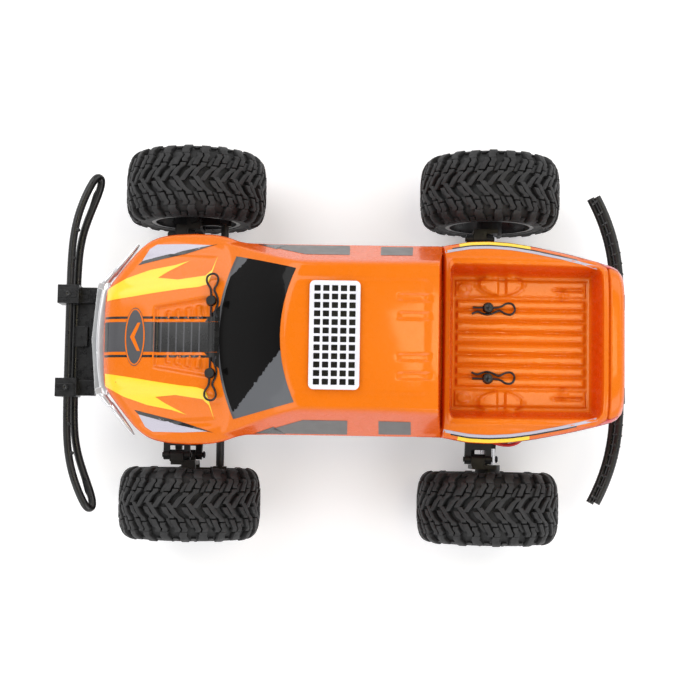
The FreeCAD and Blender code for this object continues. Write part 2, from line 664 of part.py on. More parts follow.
def motor():
    """Motor can with its shaft, end cap and two terminals."""
    front = GEAR_Y - GEAR_WIDTH / 2 - 3.2
    back = front - MOTOR_LENGTH
    can = rod(MOTOR_R, (MOTOR_X, back + 4, MOTOR_Z), (MOTOR_X, front, MOTOR_Z))
    cap = rod(MOTOR_R - 1.0, (MOTOR_X, back, MOTOR_Z), (MOTOR_X, back + 4, MOTOR_Z))
    boss = rod(3.4, (MOTOR_X, front, MOTOR_Z), (MOTOR_X, front + 1.6, MOTOR_Z))
    shaft = rod(1.0, (MOTOR_X, front, MOTOR_Z), (MOTOR_X, GEAR_Y + GEAR_WIDTH / 2 + 1, MOTOR_Z))
    pieces = [can, cap, boss, shaft]
    for x in (-4.0, 4.0):
        low = (MOTOR_X + x - 1.2, back - 3.0, MOTOR_Z + 4.0)
        pieces.append(block(low, (MOTOR_X + x + 1.2, back + 0.5, MOTOR_Z + 4.6)))
    return join(pieces)


# ---------------------------------------------------------------- steering
SERVO_TOP = LINK_Z - 3.0
HORN_LOW = LINK_Z + 2.4
LINK_SLOT_HALF = 1.5


def steering_servo():
    """Servo case with its mounting lugs and output shaft."""
    case = block((SERVO_X - 17, -6.2, CHASSIS_TOP), (SERVO_X + 6.5, 6.2, SERVO_TOP))
    lugs = block((SERVO_X - 21.5, -6.2, SERVO_TOP - 7), (SERVO_X + 8.5, 6.2, SERVO_TOP - 4.6))
    tower = rod(5.6, (SERVO_X, 0, SERVO_TOP - 1), (SERVO_X, 0, SERVO_TOP + 2.0))
    shaft = rod(2.0, (SERVO_X, 0, SERVO_TOP), (SERVO_X, 0, HORN_LOW + 1.2))
    return join([case, lugs, tower, shaft])


def servo_horn():
    """Horn on the servo shaft, with a pin down into the link."""
    top = HORN_LOW + 2.2
    hub = rod(3.8, (SERVO_X, 0, HORN_LOW - 1.4), (SERVO_X, 0, top))
    lever = block((SERVO_X, -2.0, HORN_LOW), (LINK_X, 2.0, top))
    end = rod(2.6, (LINK_X, 0, HORN_LOW), (LINK_X, 0, top))
    pin = rod(PIN_R, (LINK_X, 0, LINK_Z - 2.0), (LINK_X, 0, top))
    bore = rod(2.0 + FIT, (SERVO_X, 0, HORN_LOW - 2), (SERVO_X, 0, top - 0.8))
    return join([hub, lever, end, pin]).cut(bore)


def steering_link():
    """Cross link with a slot for the horn pin and a hinge pin for each tie rod."""
    bar = block((LINK_X - 3.2, -LINK_HALF, LINK_Z - 2), (LINK_X + 3.2, LINK_HALF, LINK_Z + 2))
    reach = PIN_R + FIT
    slot_low = (LINK_X - LINK_SLOT_HALF, -reach, LINK_Z - 3)
    slot = block(slot_low, (LINK_X + LINK_SLOT_HALF, reach, LINK_Z + 3))
    ends = [rod(reach, (LINK_X + way * LINK_SLOT_HALF, 0, LINK_Z - 3),
                (LINK_X + way * LINK_SLOT_HALF, 0, LINK_Z + 3)) for way in (-1, 1)]
    pieces = [bar.cut([slot] + ends)]
    for side in (-1, 1):
        y = side * ARM_IN_Y
        for way in (-1, 1):
            near = LINK_X + way * (2.0 + SIDE_GAP)
            far = LINK_X + way * 4.6
            low = (min(near, far), min(side * (LINK_HALF - 2), y + side * 2.4), LINK_Z - 2)
            high = (max(near, far), max(side * (LINK_HALF - 2), y + side * 2.4), LINK_Z + 2)
            pieces.append(block(low, high))
        pieces.append(rod(PIN_R, (LINK_X - 5.0, y, LINK_Z), (LINK_X + 5.0, y, LINK_Z)))
    return join(pieces)


def tie_rod():
    """Tie rod: inner eye on the link, outer eye slotted around the knuckle stud."""
    outer_z = LINK_Z - ARM_DROP
    stud_y = KINGPIN_Y
    inner_eye = rod(3.0, (LINK_X - 2.0, ARM_IN_Y, LINK_Z), (LINK_X + 2.0, ARM_IN_Y, LINK_Z))
    bar = rod(1.6, (LINK_X, ARM_IN_Y + 1.8, LINK_Z - 0.1), (LINK_X, stud_y - 3, outer_z))
    sleeve = rod(2.4, (LINK_X, ARM_OUT_Y - 14, outer_z + 1.0), (LINK_X, stud_y - 3.6, outer_z))
    half = PIN_R + 1.4
    outer_eye = block((LINK_X - half - 1.1, stud_y - 3.4, outer_z - 1.4),
                      (LINK_X + half + 1.1, stud_y + 3.4, outer_z + 1.4))
    reach = PIN_R + OPEN_PIVOT_GAP
    slot_low = (LINK_X - half, stud_y - reach, outer_z - 3)
    slot = block(slot_low, (LINK_X + half, stud_y + reach, outer_z + 3))
    inner_hole = rod(HOLE_R, (LINK_X - 5, ARM_IN_Y, LINK_Z), (LINK_X + 5, ARM_IN_Y, LINK_Z))
    return join([inner_eye, bar, sleeve, outer_eye]).cut([inner_hole, slot])


# ---------------------------------------------------------------- chassis
def chassis_tub():
    """Floor with side walls between the axles, and the screw holes underneath."""
    nose_x = 132.0
    tail_x = -128.0
    end_half = 18.0
    mid_front = 52.0
    mid_rear = -52.0
    floor = prism([
        (tail_x, -end_half, CHASSIS_BOTTOM), (mid_rear - 4, -end_half, CHASSIS_BOTTOM),
        (mid_rear, -TUB_HALF, CHASSIS_BOTTOM), (mid_front, -TUB_HALF, CHASSIS_BOTTOM),
        (mid_front + 4, -end_half, CHASSIS_BOTTOM), (nose_x, -end_half, CHASSIS_BOTTOM),
        (nose_x, end_half, CHASSIS_BOTTOM), (mid_front + 4, end_half, CHASSIS_BOTTOM),
        (mid_front, TUB_HALF, CHASSIS_BOTTOM), (mid_rear, TUB_HALF, CHASSIS_BOTTOM),
        (mid_rear - 4, end_half, CHASSIS_BOTTOM), (tail_x, end_half, CHASSIS_BOTTOM),
    ], (0, 0, FLOOR))
    pieces = [floor]
    inner = TUB_HALF - TUB_WALL
    for side in (-1, 1):
        low_y = min(side * inner, side * TUB_HALF)
        pieces.append(block((mid_rear, low_y, CHASSIS_BOTTOM), (mid_front, low_y + TUB_WALL, TUB_TOP)))
    pieces.append(block((nose_x - 4, -14, CHASSIS_BOTTOM), (nose_x, 14, BUMPER_Z - 2)))
    pieces.append(block((tail_x, -14, CHASSIS_BOTTOM), (tail_x + 4, 14, BUMPER_Z - 2)))
    holes = []
    for x in (-MOUNT_SPACING_X / 2, MOUNT_SPACING_X / 2):
        for y in (-MOUNT_SPACING_Y / 2, MOUNT_SPACING_Y / 2):
            holes.append(rod(MOUNT_HOLE_R, (x, y, CHASSIS_BOTTOM - 1), (x, y, CHASSIS_TOP + 1)))
    return join(pieces).cut(holes)


def battery_pack():
    """Three round cells side by side, wrapped as one pack with a flat connector lid."""
    cell_r = 7.2
    pitch = 13.4
    length = 50.0
    start_x = -24.0
    z = CHASSIS_TOP + 0.4 + cell_r
    pieces = [block((start_x + 0.5, -pitch, z - 5), (start_x + length - 0.5, pitch, z + 5))]
    for row in (-1, 0, 1):
        pieces.append(rod(cell_r, (start_x, row * pitch, z), (start_x + length, row * pitch, z)))
    pieces.append(block((start_x + 4, -9, z + 3), (start_x + 16, 9, z + cell_r + 2)))
    return join(pieces)


def electronics_box():
    """Receiver and speed controller in one case with a ribbed lid."""
    base = block((-51.0, -22.0, CHASSIS_TOP), (-28.0, 22.0, 46.0))
    ribs = []
    rib_count = 7
    for index in range(rib_count):
        y = -15.0 + 5.0 * index
        ribs.append(block((-49.0, y - 0.8, 45.5), (-30.0, y + 0.8, 48.0)))
    return join([base] + ribs)


# ---------------------------------------------------------------- bumpers
def bumper_route(points, z):
    """Left and right half of a bar from its centre outwards, as one route."""
    left = [(x, y, z) for x, y in points]
    right = [(x, -y, z) for x, y in reversed(points)]
    return right + left


def bumper_bars(half):
    """Upper and lower bar of a bumper, bent along the same route."""
    bars = []
    for way in (-1, 1):
        route = bumper_route(half, BUMPER_Z + way * BUMPER_PITCH / 2)
        bars.append(bent_tube(BUMPER_TUBE_R, route))
    return bars


def end_links(end_point, bars):
    """Upright links that join the two bars at their ends."""
    x, y = end_point
    reach = BUMPER_PITCH / 2 + BUMPER_TUBE_R
    links = []
    for side in (-1, 1):
        link_x = x + 2.0
        link_y = side * (y - 2.4)
        low = (link_x, link_y, BUMPER_Z - reach)
        link = rod(BUMPER_TUBE_R - 0.3, low, (link_x, link_y, BUMPER_Z + reach))
        links.append(link.cut(bars))
    return Part.makeCompound(links)


def front_bumper():
    """Double bar joined at its ends, two clamps and the bracket behind."""
    bar = [(160.4, 42.0), (154.5, 80.0), (146.5, 97.0)]
    bars = bumper_bars(bar)
    bars.append(end_links(bar[-1], bars))
    pieces = []
    for side in (-1, 1):
        clamp_y = side * CLAMP_Y
        low = (155.0, clamp_y - 5.5, BUMPER_Z - 7.5)
        pieces.append(block(low, (167.3, clamp_y + 5.5, BUMPER_Z + 7.5)))
        low = (146.0, clamp_y - 3.0, BUMPER_Z - 5.0)
        pieces.append(block(low, (156.0, clamp_y + 3.0, BUMPER_Z - 1.0)))
    pieces.append(block((132.0, -14, 44.0), (136.0, 14, BUMPER_Z - 1.0)))
    pieces.append(block((132.0, -28.0, BUMPER_Z - 5.0), (150.0, 28.0, BUMPER_Z - 1.5)))
    return Part.makeCompound(bars + [join(pieces).cut(bars)])


def rear_bumper():
    """Double ribbed bar with square-cut ends and its bracket."""
    bar = [(-164.8, 40.0), (-160.0, 72.0), (-150.6, 90.0)]
    bars = bumper_bars(bar)
    pieces = []
    for side in (-1, 1):
        clamp_y = side * CLAMP_Y
        low = (-167.3, clamp_y - 5.0, BUMPER_Z - 6.5)
        pieces.append(block(low, (-158.8, clamp_y + 5.0, BUMPER_Z + 6.5)))
        low = (-159.0, clamp_y - 3.0, BUMPER_Z - 5.0)
        pieces.append(block(low, (-142.0, clamp_y + 3.0, BUMPER_Z - 1.5)))
    pieces.append(block((-148.0, -28.0, BUMPER_Z - 5.0), (-128.0, 28.0, BUMPER_Z - 1.5)))
    pieces.append(block((-132.0, -14, 44.0), (-128.0, 14, BUMPER_Z - 1.0)))
    return Part.makeCompound(bars + [join(pieces).cut(bars)])


# ---------------------------------------------------------------- body shell
def shell_section(x):
    """Section values at X, interpolated between the stations."""
    for first, second in zip(SHELL_STATIONS, SHELL_STATIONS[1:]):
        if first[0] <= x <= second[0]:
            share = (x - first[0]) / (second[0] - first[0])
            return [a + (b - a) * share for a, b in zip(first[1:], second[1:])]
    return list(SHELL_STATIONS[0][1:]) if x < 0 else list(SHELL_STATIONS[-1][1:])


def shell_solid(inset):
    """Filled body; inset moves every wall and the roof inwards."""
    low_z = SHELL_LOW - (6.0 if inset else 0.0)
    wires = []
    last = len(SHELL_STATIONS) - 1
    for index, station in enumerate(SHELL_STATIONS):
        x = station[0]
        if index == 0:
            x += inset
        if index == last:
            x -= inset
        low_half, belt_half, belt_z, top_half, top_z = shell_section(x)
        half = [
            (x, low_half - inset, low_z), (x, belt_half - inset, belt_z - inset * 0.4),
            (x, top_half - inset * 0.6, top_z - inset),
        ]
        points = [V(*p) for p in half] + [V(px, -py, pz) for px, py, pz in reversed(half)]
        wires.append(Part.makePolygon(points + points[:1]))
    return Part.makeLoft(wires, True, True)


def bed_space(grow):
    """Load bed cavity, or its skin when grow is the skin thickness."""
    wires = []
    for z, half in ((BED_FLOOR - grow, BED_HALF + grow), (BED_TOP + 5, BED_TOP_HALF + grow)):
        wires.append(Part.makePolygon([
            V(BED_REAR - grow, -half, z), V(BED_FRONT + grow, -half, z),
            V(BED_FRONT + grow, half, z), V(BED_REAR - grow, half, z), V(BED_REAR - grow, -half, z),
        ]))
    return Part.makeLoft(wires, True, True)


def wheel_arch(radius, end, side):
    """Round opening over one wheel, from inboard of the arms out past the tyre."""
    x = AXLE_X[end]
    return rod(radius, (x, side * ARCH_IN_Y, AXLE_Z), (x, side * ARCH_OUT_Y, AXLE_Z))


def body_shell():
    """Thin shell: hood, cab, load bed and fenders, open below and at the wheel arches."""
    outer = shell_solid(0.0)
    inner = shell_solid(SKIN)
    shell = outer.cut(bed_space(0.0)).cut(inner.cut(bed_space(SKIN)))
    tools = []
    for end in AXLE_X:
        for side in (-1, 1):
            tools.append(wheel_arch(ARCH_RADIUS, end, side))
        post_x, post_y, post_z = POSTS[end]
        for side in (-1, 1):
            low = (post_x, side * post_y, post_z - 9)
            tools.append(rod(POST_HOLE_R, low, (post_x, side * post_y, post_z + 9)))
    return shell.cut(tools)


def body_posts():
    """Four posts with a shoulder under the shell and a round head above it."""
    posts = []
    for end in POSTS:
        x, y, surface = POSTS[end]
        for side in (-1, 1):
            shoulder = rod(3.6, (x, side * y, BULKHEAD_TOP), (x, side * y, surface - SKIN - 1.0))
            pin = rod(POST_R, (x, side * y, BULKHEAD_TOP), (x, side * y, surface + CLIP_LIFT + 3.4))
            along = V(0, 1, 0) if end == "f" else V(1, 0, 0)
            z = surface + CLIP_LIFT
            centre = V(x, side * y, z)
            hole = Part.makeCylinder(CLIP_WIRE_R + 0.25, 12, centre - along * 6, along)
            posts.append(shoulder.fuse(pin).removeSplitter().cut(hole))
    return Part.makeCompound(posts)


def clip():
    """Wire body clip in the XY plane: straight leg through the post, ring and outer leg."""
    ring_r = 3.4
    pieces = [rod(CLIP_WIRE_R, (-8.0, 0, 0), (11.0, 0, 0))]
    offset = 4.0
    pieces.append(rod(CLIP_WIRE_R, (-6.0, offset, 0), (9.5, offset, 0)))
    ring = Part.makeTorus(ring_r, CLIP_WIRE_R, V(11.0 + ring_r * 0.6, offset / 2, 0), V(0, 0, 1))
    pieces.append(ring)
    return join(pieces)


def body_clips():
    """The four clips, ring ends outwards at the front and rearwards at the back."""
    clips = []
    for end in POSTS:
        x, y, surface = POSTS[end]
        for side in (-1, 1):
            piece = clip()
            angle = 90.0 * side if end == "f" else 180.0
            piece.rotate(V(0, 0, 0), V(0, 0, 1), angle)
            clips.append(moved(piece, x, side * y, surface + CLIP_LIFT))
    return Part.makeCompound(clips)


def roof_vent():
    """Framed grid of square holes on the roof."""
    columns = 5
    rows = 12
    pitch = 4.8
    bar = 1.35
    border = 2.6
    low_z = 138.65
    top_z = low_z + 1.9
    plate = block((VENT_X[0], -VENT_HALF, low_z), (VENT_X[1], VENT_HALF, top_z))
    start_x = VENT_X[0] + border
    end_x = VENT_X[1] - border
    start_y = -VENT_HALF + border
    end_y = VENT_HALF - border
    step_x = (end_x - start_x + bar) / columns
    step_y = (end_y - start_y + bar) / rows
    holes = []
    for column in range(columns):
        for row in range(rows):
            x = start_x + column * step_x
            y = start_y + row * step_y
            low = (x, y, low_z + 0.5)
            holes.append(block(low, (x + step_x - bar, y + step_y - bar, top_z + 1)))
    return plate.cut(holes)


def front_grille():
    """Grille and lower trim that wrap round the nose of the shell."""
    low_z = 64.0
    high_z = 90.0
    outline = [
        (144.6, 0.0), (144.6, 32.4), (132.0, 44.0), (119.2, 55.9),
        (119.2, 52.6), (135.6, 29.2), (135.6, 0.0),
    ]
    mirror = [(x, -y) for x, y in reversed(outline[1:-1])]
    body = prism([(x, y, low_z) for x, y in outline + mirror], (0, 0, high_z - low_z))
    slots = []
    slot_count = 4
    for index in range(slot_count):
        z = low_z + 4.0 + 5.0 * index
        slots.append(block((142.6, -28.0, z), (146.0, 28.0, z + 2.6)))
    arch = [wheel_arch(ARCH_RADIUS - 1.5, "f", side) for side in (-1, 1)]
    return body.cut(slots + arch)


def motor_wires():
    """Red and black motor leads, out behind the gearbox and round to the electronics box."""
    route = [
        (-104.0, 15.0, 64.0), (-112.0, 20.0, 71.0), (-114.0, 34.0, 76.0), (-110.5, 49.0, 77.0),
        (-103.0, 58.0, 76.0), (-91.0, 57.5, 75.0), (-77.0, 50.0, 75.0), (-64.0, 42.0, 72.0),
        (-53.0, 33.0, 65.0), (-45.0, 26.0, 56.0), (-40.0, 19.0, 49.2),
    ]
    below = [(x + 3.0, y - 3.0, z - 0.5) for x, y, z in route]
    return Part.makeCompound([bent_tube(1.0, route), bent_tube(1.0, below)])


# ---------------------------------------------------------------- write everything
os.makedirs("parts", exist_ok=True)

for end in ("f", "r"):
    save_corner("tyre", end, tyre(AXLE_X[end]))
    save_corner("rim", end, rim(AXLE_X[end]))
    save_corner("lower_arm", end, moved(lower_arm(), ARM_X[end]))
    save_corner("upper_arm", end, moved(upper_arm(), ARM_X[end] + UPPER_SHIFT))
    shock_x = ARM_X[end] + SHOCK_SHIFT
    save_corner("shock_body", end, moved(shock_body(), shock_x))
    save_corner("shock_rod", end, moved(shock_rod(), shock_x))
    coil = spring()
    save("spring_" + end + "l", moved(coil, shock_x))
    save("spring_" + end + "r", moved(turned(coil), shock_x))

save_sides("c_hub", moved(c_hub(), ARM_X["f"]))
save_sides("steering_knuckle", knuckle())
save_sides("hub_carrier", moved(hub_carrier(), ARM_X["r"]))
save_sides("rear_axle", rear_axle())
save_sides("drive_shaft", drive_shaft())
save_sides("tie_rod", tie_rod())
save("steering_servo", steering_servo())
save("servo_horn", servo_horn())
save("steering_link", steering_link())
save("motor", motor())
save("motor_pinion", motor_pinion())
save("drive_gear", drive_gear())
save("chassis_tub", chassis_tub())
save("front_bulkhead", front_bulkhead())
save("gearbox_housing", gearbox_housing())
save("shock_towers", Part.makeCompound([shock_tower("f"), shock_tower("r")]))
save("body_posts", body_posts())
save("body_shell", body_shell())
save("roof_vent", roof_vent())
save("front_grille", front_grille())
save("body_clips", body_clips())
save("front_bumper", front_bumper())
save("rear_bumper", rear_bumper())
save("battery_pack", battery_pack())
save("electronics_box", electronics_box())
save("motor_wires", motor_wires())
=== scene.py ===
"""Looks for the RC monster truck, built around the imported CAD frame.

Shapes are worked out in millimetres (MM turns them into metres).  +X is the
truck's nose, +Y its left side, +Z up, and the ground is at z = 0.
"""
import json
import math

import bmesh
import bpy
import numpy as np
from mathutils import Matrix, Vector
from mathutils.bvhtree import BVHTree

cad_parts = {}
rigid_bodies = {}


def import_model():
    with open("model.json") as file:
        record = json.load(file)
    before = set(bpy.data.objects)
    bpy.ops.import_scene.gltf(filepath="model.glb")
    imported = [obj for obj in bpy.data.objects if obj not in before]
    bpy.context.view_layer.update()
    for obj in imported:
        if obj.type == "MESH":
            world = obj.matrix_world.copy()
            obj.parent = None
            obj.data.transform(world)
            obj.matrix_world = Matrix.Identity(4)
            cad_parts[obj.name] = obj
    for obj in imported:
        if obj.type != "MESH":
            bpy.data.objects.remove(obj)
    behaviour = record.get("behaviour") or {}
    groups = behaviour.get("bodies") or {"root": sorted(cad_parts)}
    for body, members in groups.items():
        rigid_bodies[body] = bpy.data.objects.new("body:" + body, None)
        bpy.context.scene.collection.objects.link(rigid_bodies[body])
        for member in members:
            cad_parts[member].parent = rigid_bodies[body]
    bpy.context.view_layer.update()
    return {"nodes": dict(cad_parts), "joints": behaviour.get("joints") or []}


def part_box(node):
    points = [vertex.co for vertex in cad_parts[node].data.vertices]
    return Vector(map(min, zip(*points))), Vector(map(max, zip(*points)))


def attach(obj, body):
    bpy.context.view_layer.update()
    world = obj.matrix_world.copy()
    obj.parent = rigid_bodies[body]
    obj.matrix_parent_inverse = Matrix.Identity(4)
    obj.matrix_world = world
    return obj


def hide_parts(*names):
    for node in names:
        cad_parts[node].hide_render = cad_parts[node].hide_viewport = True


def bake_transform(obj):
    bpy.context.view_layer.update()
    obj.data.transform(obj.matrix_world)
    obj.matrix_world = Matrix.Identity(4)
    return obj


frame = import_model()
MM = 0.001
ROOT = "chassis"
ENDS = ("f", "r")
SIDES = {"l": 1.0, "r": -1.0}


def node_box(name):
    """Lowest and highest corner of a CAD node, in millimetres."""
    low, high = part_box(name)
    return np.array(low) / MM, np.array(high) / MM


def joint(name):
    """The frame's joint of that name."""
    return next(item for item in frame["joints"] if item["name"] == name)


def body_of(joint_name):
    """The body that a joint moves."""
    return joint(joint_name)["child"]


def corners():
    """Name of each wheel corner, as in fl, with +1 on the left and -1 on the right."""
    return [(end + side_name, sign) for end in ENDS for side_name, sign in SIDES.items()]


# ------------------------------------------------------------------ materials
def linear(red, green, blue):
    """Linear colour from 0-255 display values."""
    def channel(value):
        share = value / 255
        return share / 12.92 if share <= 0.04045 else ((share + 0.055) / 1.055) ** 2.4
    return (channel(red), channel(green), channel(blue), 1.0)


class Shader:
    """A node material with short calls for the nodes used here."""

    def __init__(self, name):
        self.material = bpy.data.materials.new(name)
        self.material.use_nodes = True
        self.tree = self.material.node_tree
        self.surface = self.tree.nodes["Principled BSDF"]

    def node(self, kind, **values):
        """New node with some of its inputs or settings filled in."""
        item = self.tree.nodes.new(kind)
        for key, value in values.items():
            if key in item.inputs:
                item.inputs[key].default_value = value
            else:
                setattr(item, key, value)
        return item

    def link(self, source, target):
        self.tree.links.new(source, target)

    def set(self, **values):
        """Set constant values on the surface shader's sockets."""
        for key, value in values.items():
            self.surface.inputs[key.replace("_", " ")].default_value = value

    def place(self):
        """Object coordinates in metres."""
        return self.node("ShaderNodeTexCoord").outputs["Object"]

    def noise(self, scale, detail=3.0, rough=0.5, vector=None):
        """Noise value; scale is repeats per metre."""
        item = self.node("ShaderNodeTexNoise", Scale=scale, Detail=detail, Roughness=rough)
        self.link(vector or self.place(), item.inputs["Vector"])
        return item.outputs["Fac"]

    def ramp(self, value, stops):
        """Colour ramp through (position, colour) stops."""
        item = self.node("ShaderNodeValToRGB")
        elements = item.color_ramp.elements
        while len(elements) < len(stops):
            elements.new(0.5)
        for element, (position, colour) in zip(elements, stops):
            element.position = position
            element.color = colour
        self.link(value, item.inputs["Fac"])
        return item.outputs["Color"]

    def remap(self, value, low, high, to_low, to_high):
        """Value mapped from one span to another, clamped."""
        item = self.node("ShaderNodeMapRange")
        for key, number in (("From Min", low), ("From Max", high), ("To Min", to_low), ("To Max", to_high)):
            item.inputs[key].default_value = number
        self.link(value, item.inputs["Value"])
        return item.outputs["Result"]

    def math(self, operation, first, second=0.5):
        """Math node on values or sockets."""
        item = self.node("ShaderNodeMath", operation=operation)
        for index, value in enumerate((first, second)):
            if isinstance(value, (int, float)):
                item.inputs[index].default_value = value
            else:
                self.link(value, item.inputs[index])
        return item.outputs["Value"]

    def mix(self, factor, first, second):
        """Colour mix of two colours or sockets."""
        item = self.node("ShaderNodeMix", data_type="RGBA")
        for socket, value in ((item.inputs[0], factor), (item.inputs[6], first), (item.inputs[7], second)):
            if isinstance(value, (int, float, tuple)):
                socket.default_value = value
            else:
                self.link(value, socket)
        return item.outputs[2]

    def bump(self, height, strength, distance):
        """Bump the surface by a height value; distance in metres."""
        item = self.node("ShaderNodeBump", Strength=strength, Distance=distance)
        self.link(height, item.inputs["Height"])
        self.link(item.outputs["Normal"], self.surface.inputs["Normal"])

    def colour(self, source):
        self.link(source, self.surface.inputs["Base Color"])

    def roughness(self, source):
        self.link(source, self.surface.inputs["Roughness"])

    def worn_edges(self, base, worn, amount):
        """Mix in a worn colour along convex edges."""
        pointy = self.node("ShaderNodeNewGeometry").outputs["Pointiness"]
        edge = self.remap(pointy, 0.515, 0.58, 0.0, amount)
        broken = self.math("MULTIPLY", edge, self.remap(self.noise(900.0), 0.42, 0.62, 0.0, 1.0))
        return self.mix(broken, base, worn)


def scaled(colour, factor):
    """Colour made lighter or darker."""
    return tuple(min(1.0, value * factor) for value in colour[:3]) + (1.0,)


def moulded(name, colour, rough=0.45, grain=2600.0, depth=0.00004, worn=None, spread=0.35):
    """Moulded plastic with fine grain, uneven gloss and rubbed edges."""
    shader = Shader(name)
    cloud = shader.noise(90.0, 4.0)
    base = shader.ramp(cloud, [(0.3, scaled(colour, 1.0 - spread)), (0.7, scaled(colour, 1.0 + spread))])
    shader.colour(shader.worn_edges(base, worn or scaled(colour, 3.0), 0.45))
    fine = shader.noise(grain, 2.0)
    smear = shader.noise(240.0, 5.0, 0.6)
    shader.roughness(shader.remap(smear, 0.3, 0.7, rough - 0.09, rough + 0.12))
    shader.bump(fine, 0.5, depth)
    return shader.material


def metal(name, colour, rough=0.25, brushed=(40.0, 40.0, 40.0), spread=0.12, metallic=1.0):
    """Bare or plated metal with faint working marks; less metallic for plated plastic."""
    shader = Shader(name)
    shader.set(Metallic=metallic)
    stretch = shader.node("ShaderNodeMapping")
    stretch.inputs["Scale"].default_value = brushed
    shader.link(shader.place(), stretch.inputs["Vector"])
    marks = shader.noise(30.0, 6.0, 0.65, stretch.outputs["Vector"])
    shader.colour(shader.ramp(marks,
                              [(0.25, scaled(colour, 1.0 - spread)), (0.75, scaled(colour, 1.0 + spread))]))
    shader.roughness(shader.remap(marks, 0.3, 0.7, rough * 0.7, rough * 1.4))
    shader.bump(marks, 0.25 * metallic ** 4, 0.00003)
    return shader.material


def paint(name, colour, shaded_side_colour):
    """Gloss paint behind clear polycarbonate: fine flake, with painted shade making upright walls darker and
    redder.
    """
    shader = Shader(name)
    shader.set(Coat_Weight=0.42, Coat_Roughness=0.07, IOR=1.42, Specular_IOR_Level=0.2)
    normal = shader.node("ShaderNodeNewGeometry").outputs["Normal"]
    split = shader.node("ShaderNodeSeparateXYZ")
    shader.link(normal, split.inputs["Vector"])
    # painted shade: upright walls take the darker, redder side colour
    upright = shader.remap(split.outputs["Z"], 0.15, 0.75, 1.0, 0.0)
    flake = shader.noise(5200.0, 1.0)
    flat = shader.ramp(flake, [(0.35, scaled(colour, 0.92)), (0.65, scaled(colour, 1.06))])
    cloud = shader.noise(28.0, 3.0)
    varied = shader.mix(shader.remap(cloud, 0.35, 0.7, 0.0, 0.35), flat, scaled(colour, 0.9))
    shader.colour(shader.mix(upright, varied, shaded_side_colour))
    haze = shader.noise(160.0, 4.0, 0.6)
    shader.roughness(shader.remap(haze, 0.35, 0.7, 0.22, 0.34))
    shader.bump(shader.noise(700.0, 2.0), 0.08, 0.00005)
    return shader.material


def print_ink(name, colour, rough=0.25, coat=0.6):
    """Printed graphic under the same clear gloss as the paint."""
    shader = Shader(name)
    shader.set(Coat_Weight=coat, Coat_Roughness=0.08)
    dots = shader.noise(4200.0, 1.0)
    shader.colour(shader.ramp(dots, [(0.35, scaled(colour, 0.9)), (0.65, scaled(colour, 1.08))]))
    haze = shader.noise(180.0, 4.0)
    shader.roughness(shader.remap(haze, 0.35, 0.7, rough, rough + 0.1))
    shader.bump(dots, 0.1, 0.00002)
    return shader.material


def tinted_glass(name, dark, pale):
    """Printed window: near black with a paler torn-edged reflection printed across it."""
    shader = Shader(name)
    shader.set(Coat_Weight=0.18, Coat_Roughness=0.04, Specular_IOR_Level=0.06)
    split = shader.node("ShaderNodeSeparateXYZ")
    shader.link(shader.place(), split.inputs["Vector"])
    ragged = shader.math("MULTIPLY", shader.noise(420.0, 4.0, 0.7), 0.006)
    slant = shader.math("ADD", split.outputs["Y"], shader.math("MULTIPLY", split.outputs["X"], -1.25))
    edge = shader.math("ADD", slant, ragged)
    low_corner = shader.remap(edge, -0.0290, -0.0286, 0.0, 1.0)
    far = shader.math("ADD", shader.math("MULTIPLY", split.outputs["Y"], -1.0), split.outputs["X"])
    high_corner = shader.remap(shader.math("ADD", far, ragged), 0.0985, 0.0989, 0.0, 1.0)
    pale_side = shader.math("MAXIMUM", low_corner, high_corner)
    shader.colour(shader.mix(pale_side, dark, pale))
    shader.roughness(shader.remap(shader.noise(200.0), 0.3, 0.7, 0.14, 0.24))
    shader.bump(shader.noise(600.0), 0.06, 0.00003)
    return shader.material


def rubber(name, colour):
    """Matt tyre rubber with moulding grain, and a paler colour on convex lug edges that is partly scuffing
    and partly painted highlight.
    """
    shader = Shader(name)
    pointy = shader.node("ShaderNodeNewGeometry").outputs["Pointiness"]
    # paler colour on convex lug edges: partly scuffing, partly painted highlight
    scuff_and_highlight = shader.remap(pointy, 0.5, 0.6, 0.0, 0.5)
    cloud = shader.noise(130.0, 5.0, 0.6)
    base = shader.ramp(cloud, [(0.3, scaled(colour, 0.65)), (0.7, scaled(colour, 1.5))])
    shader.colour(shader.mix(scuff_and_highlight, base, scaled(colour, 2.6)))
    shader.roughness(shader.remap(shader.noise(300.0, 4.0), 0.3, 0.7, 0.55, 0.78))
    shader.bump(shader.noise(1500.0, 4.0, 0.6), 0.45, 0.00012)
    return shader.material


ORANGE = linear(228, 114, 14)
# darker, redder orange painted onto upright walls as shade
ORANGE_SHADED_SIDE = linear(206, 60, 2)
BLACK = linear(24, 24, 25)
# depth of the finest moulding grain, in metres
FINE = 0.00002

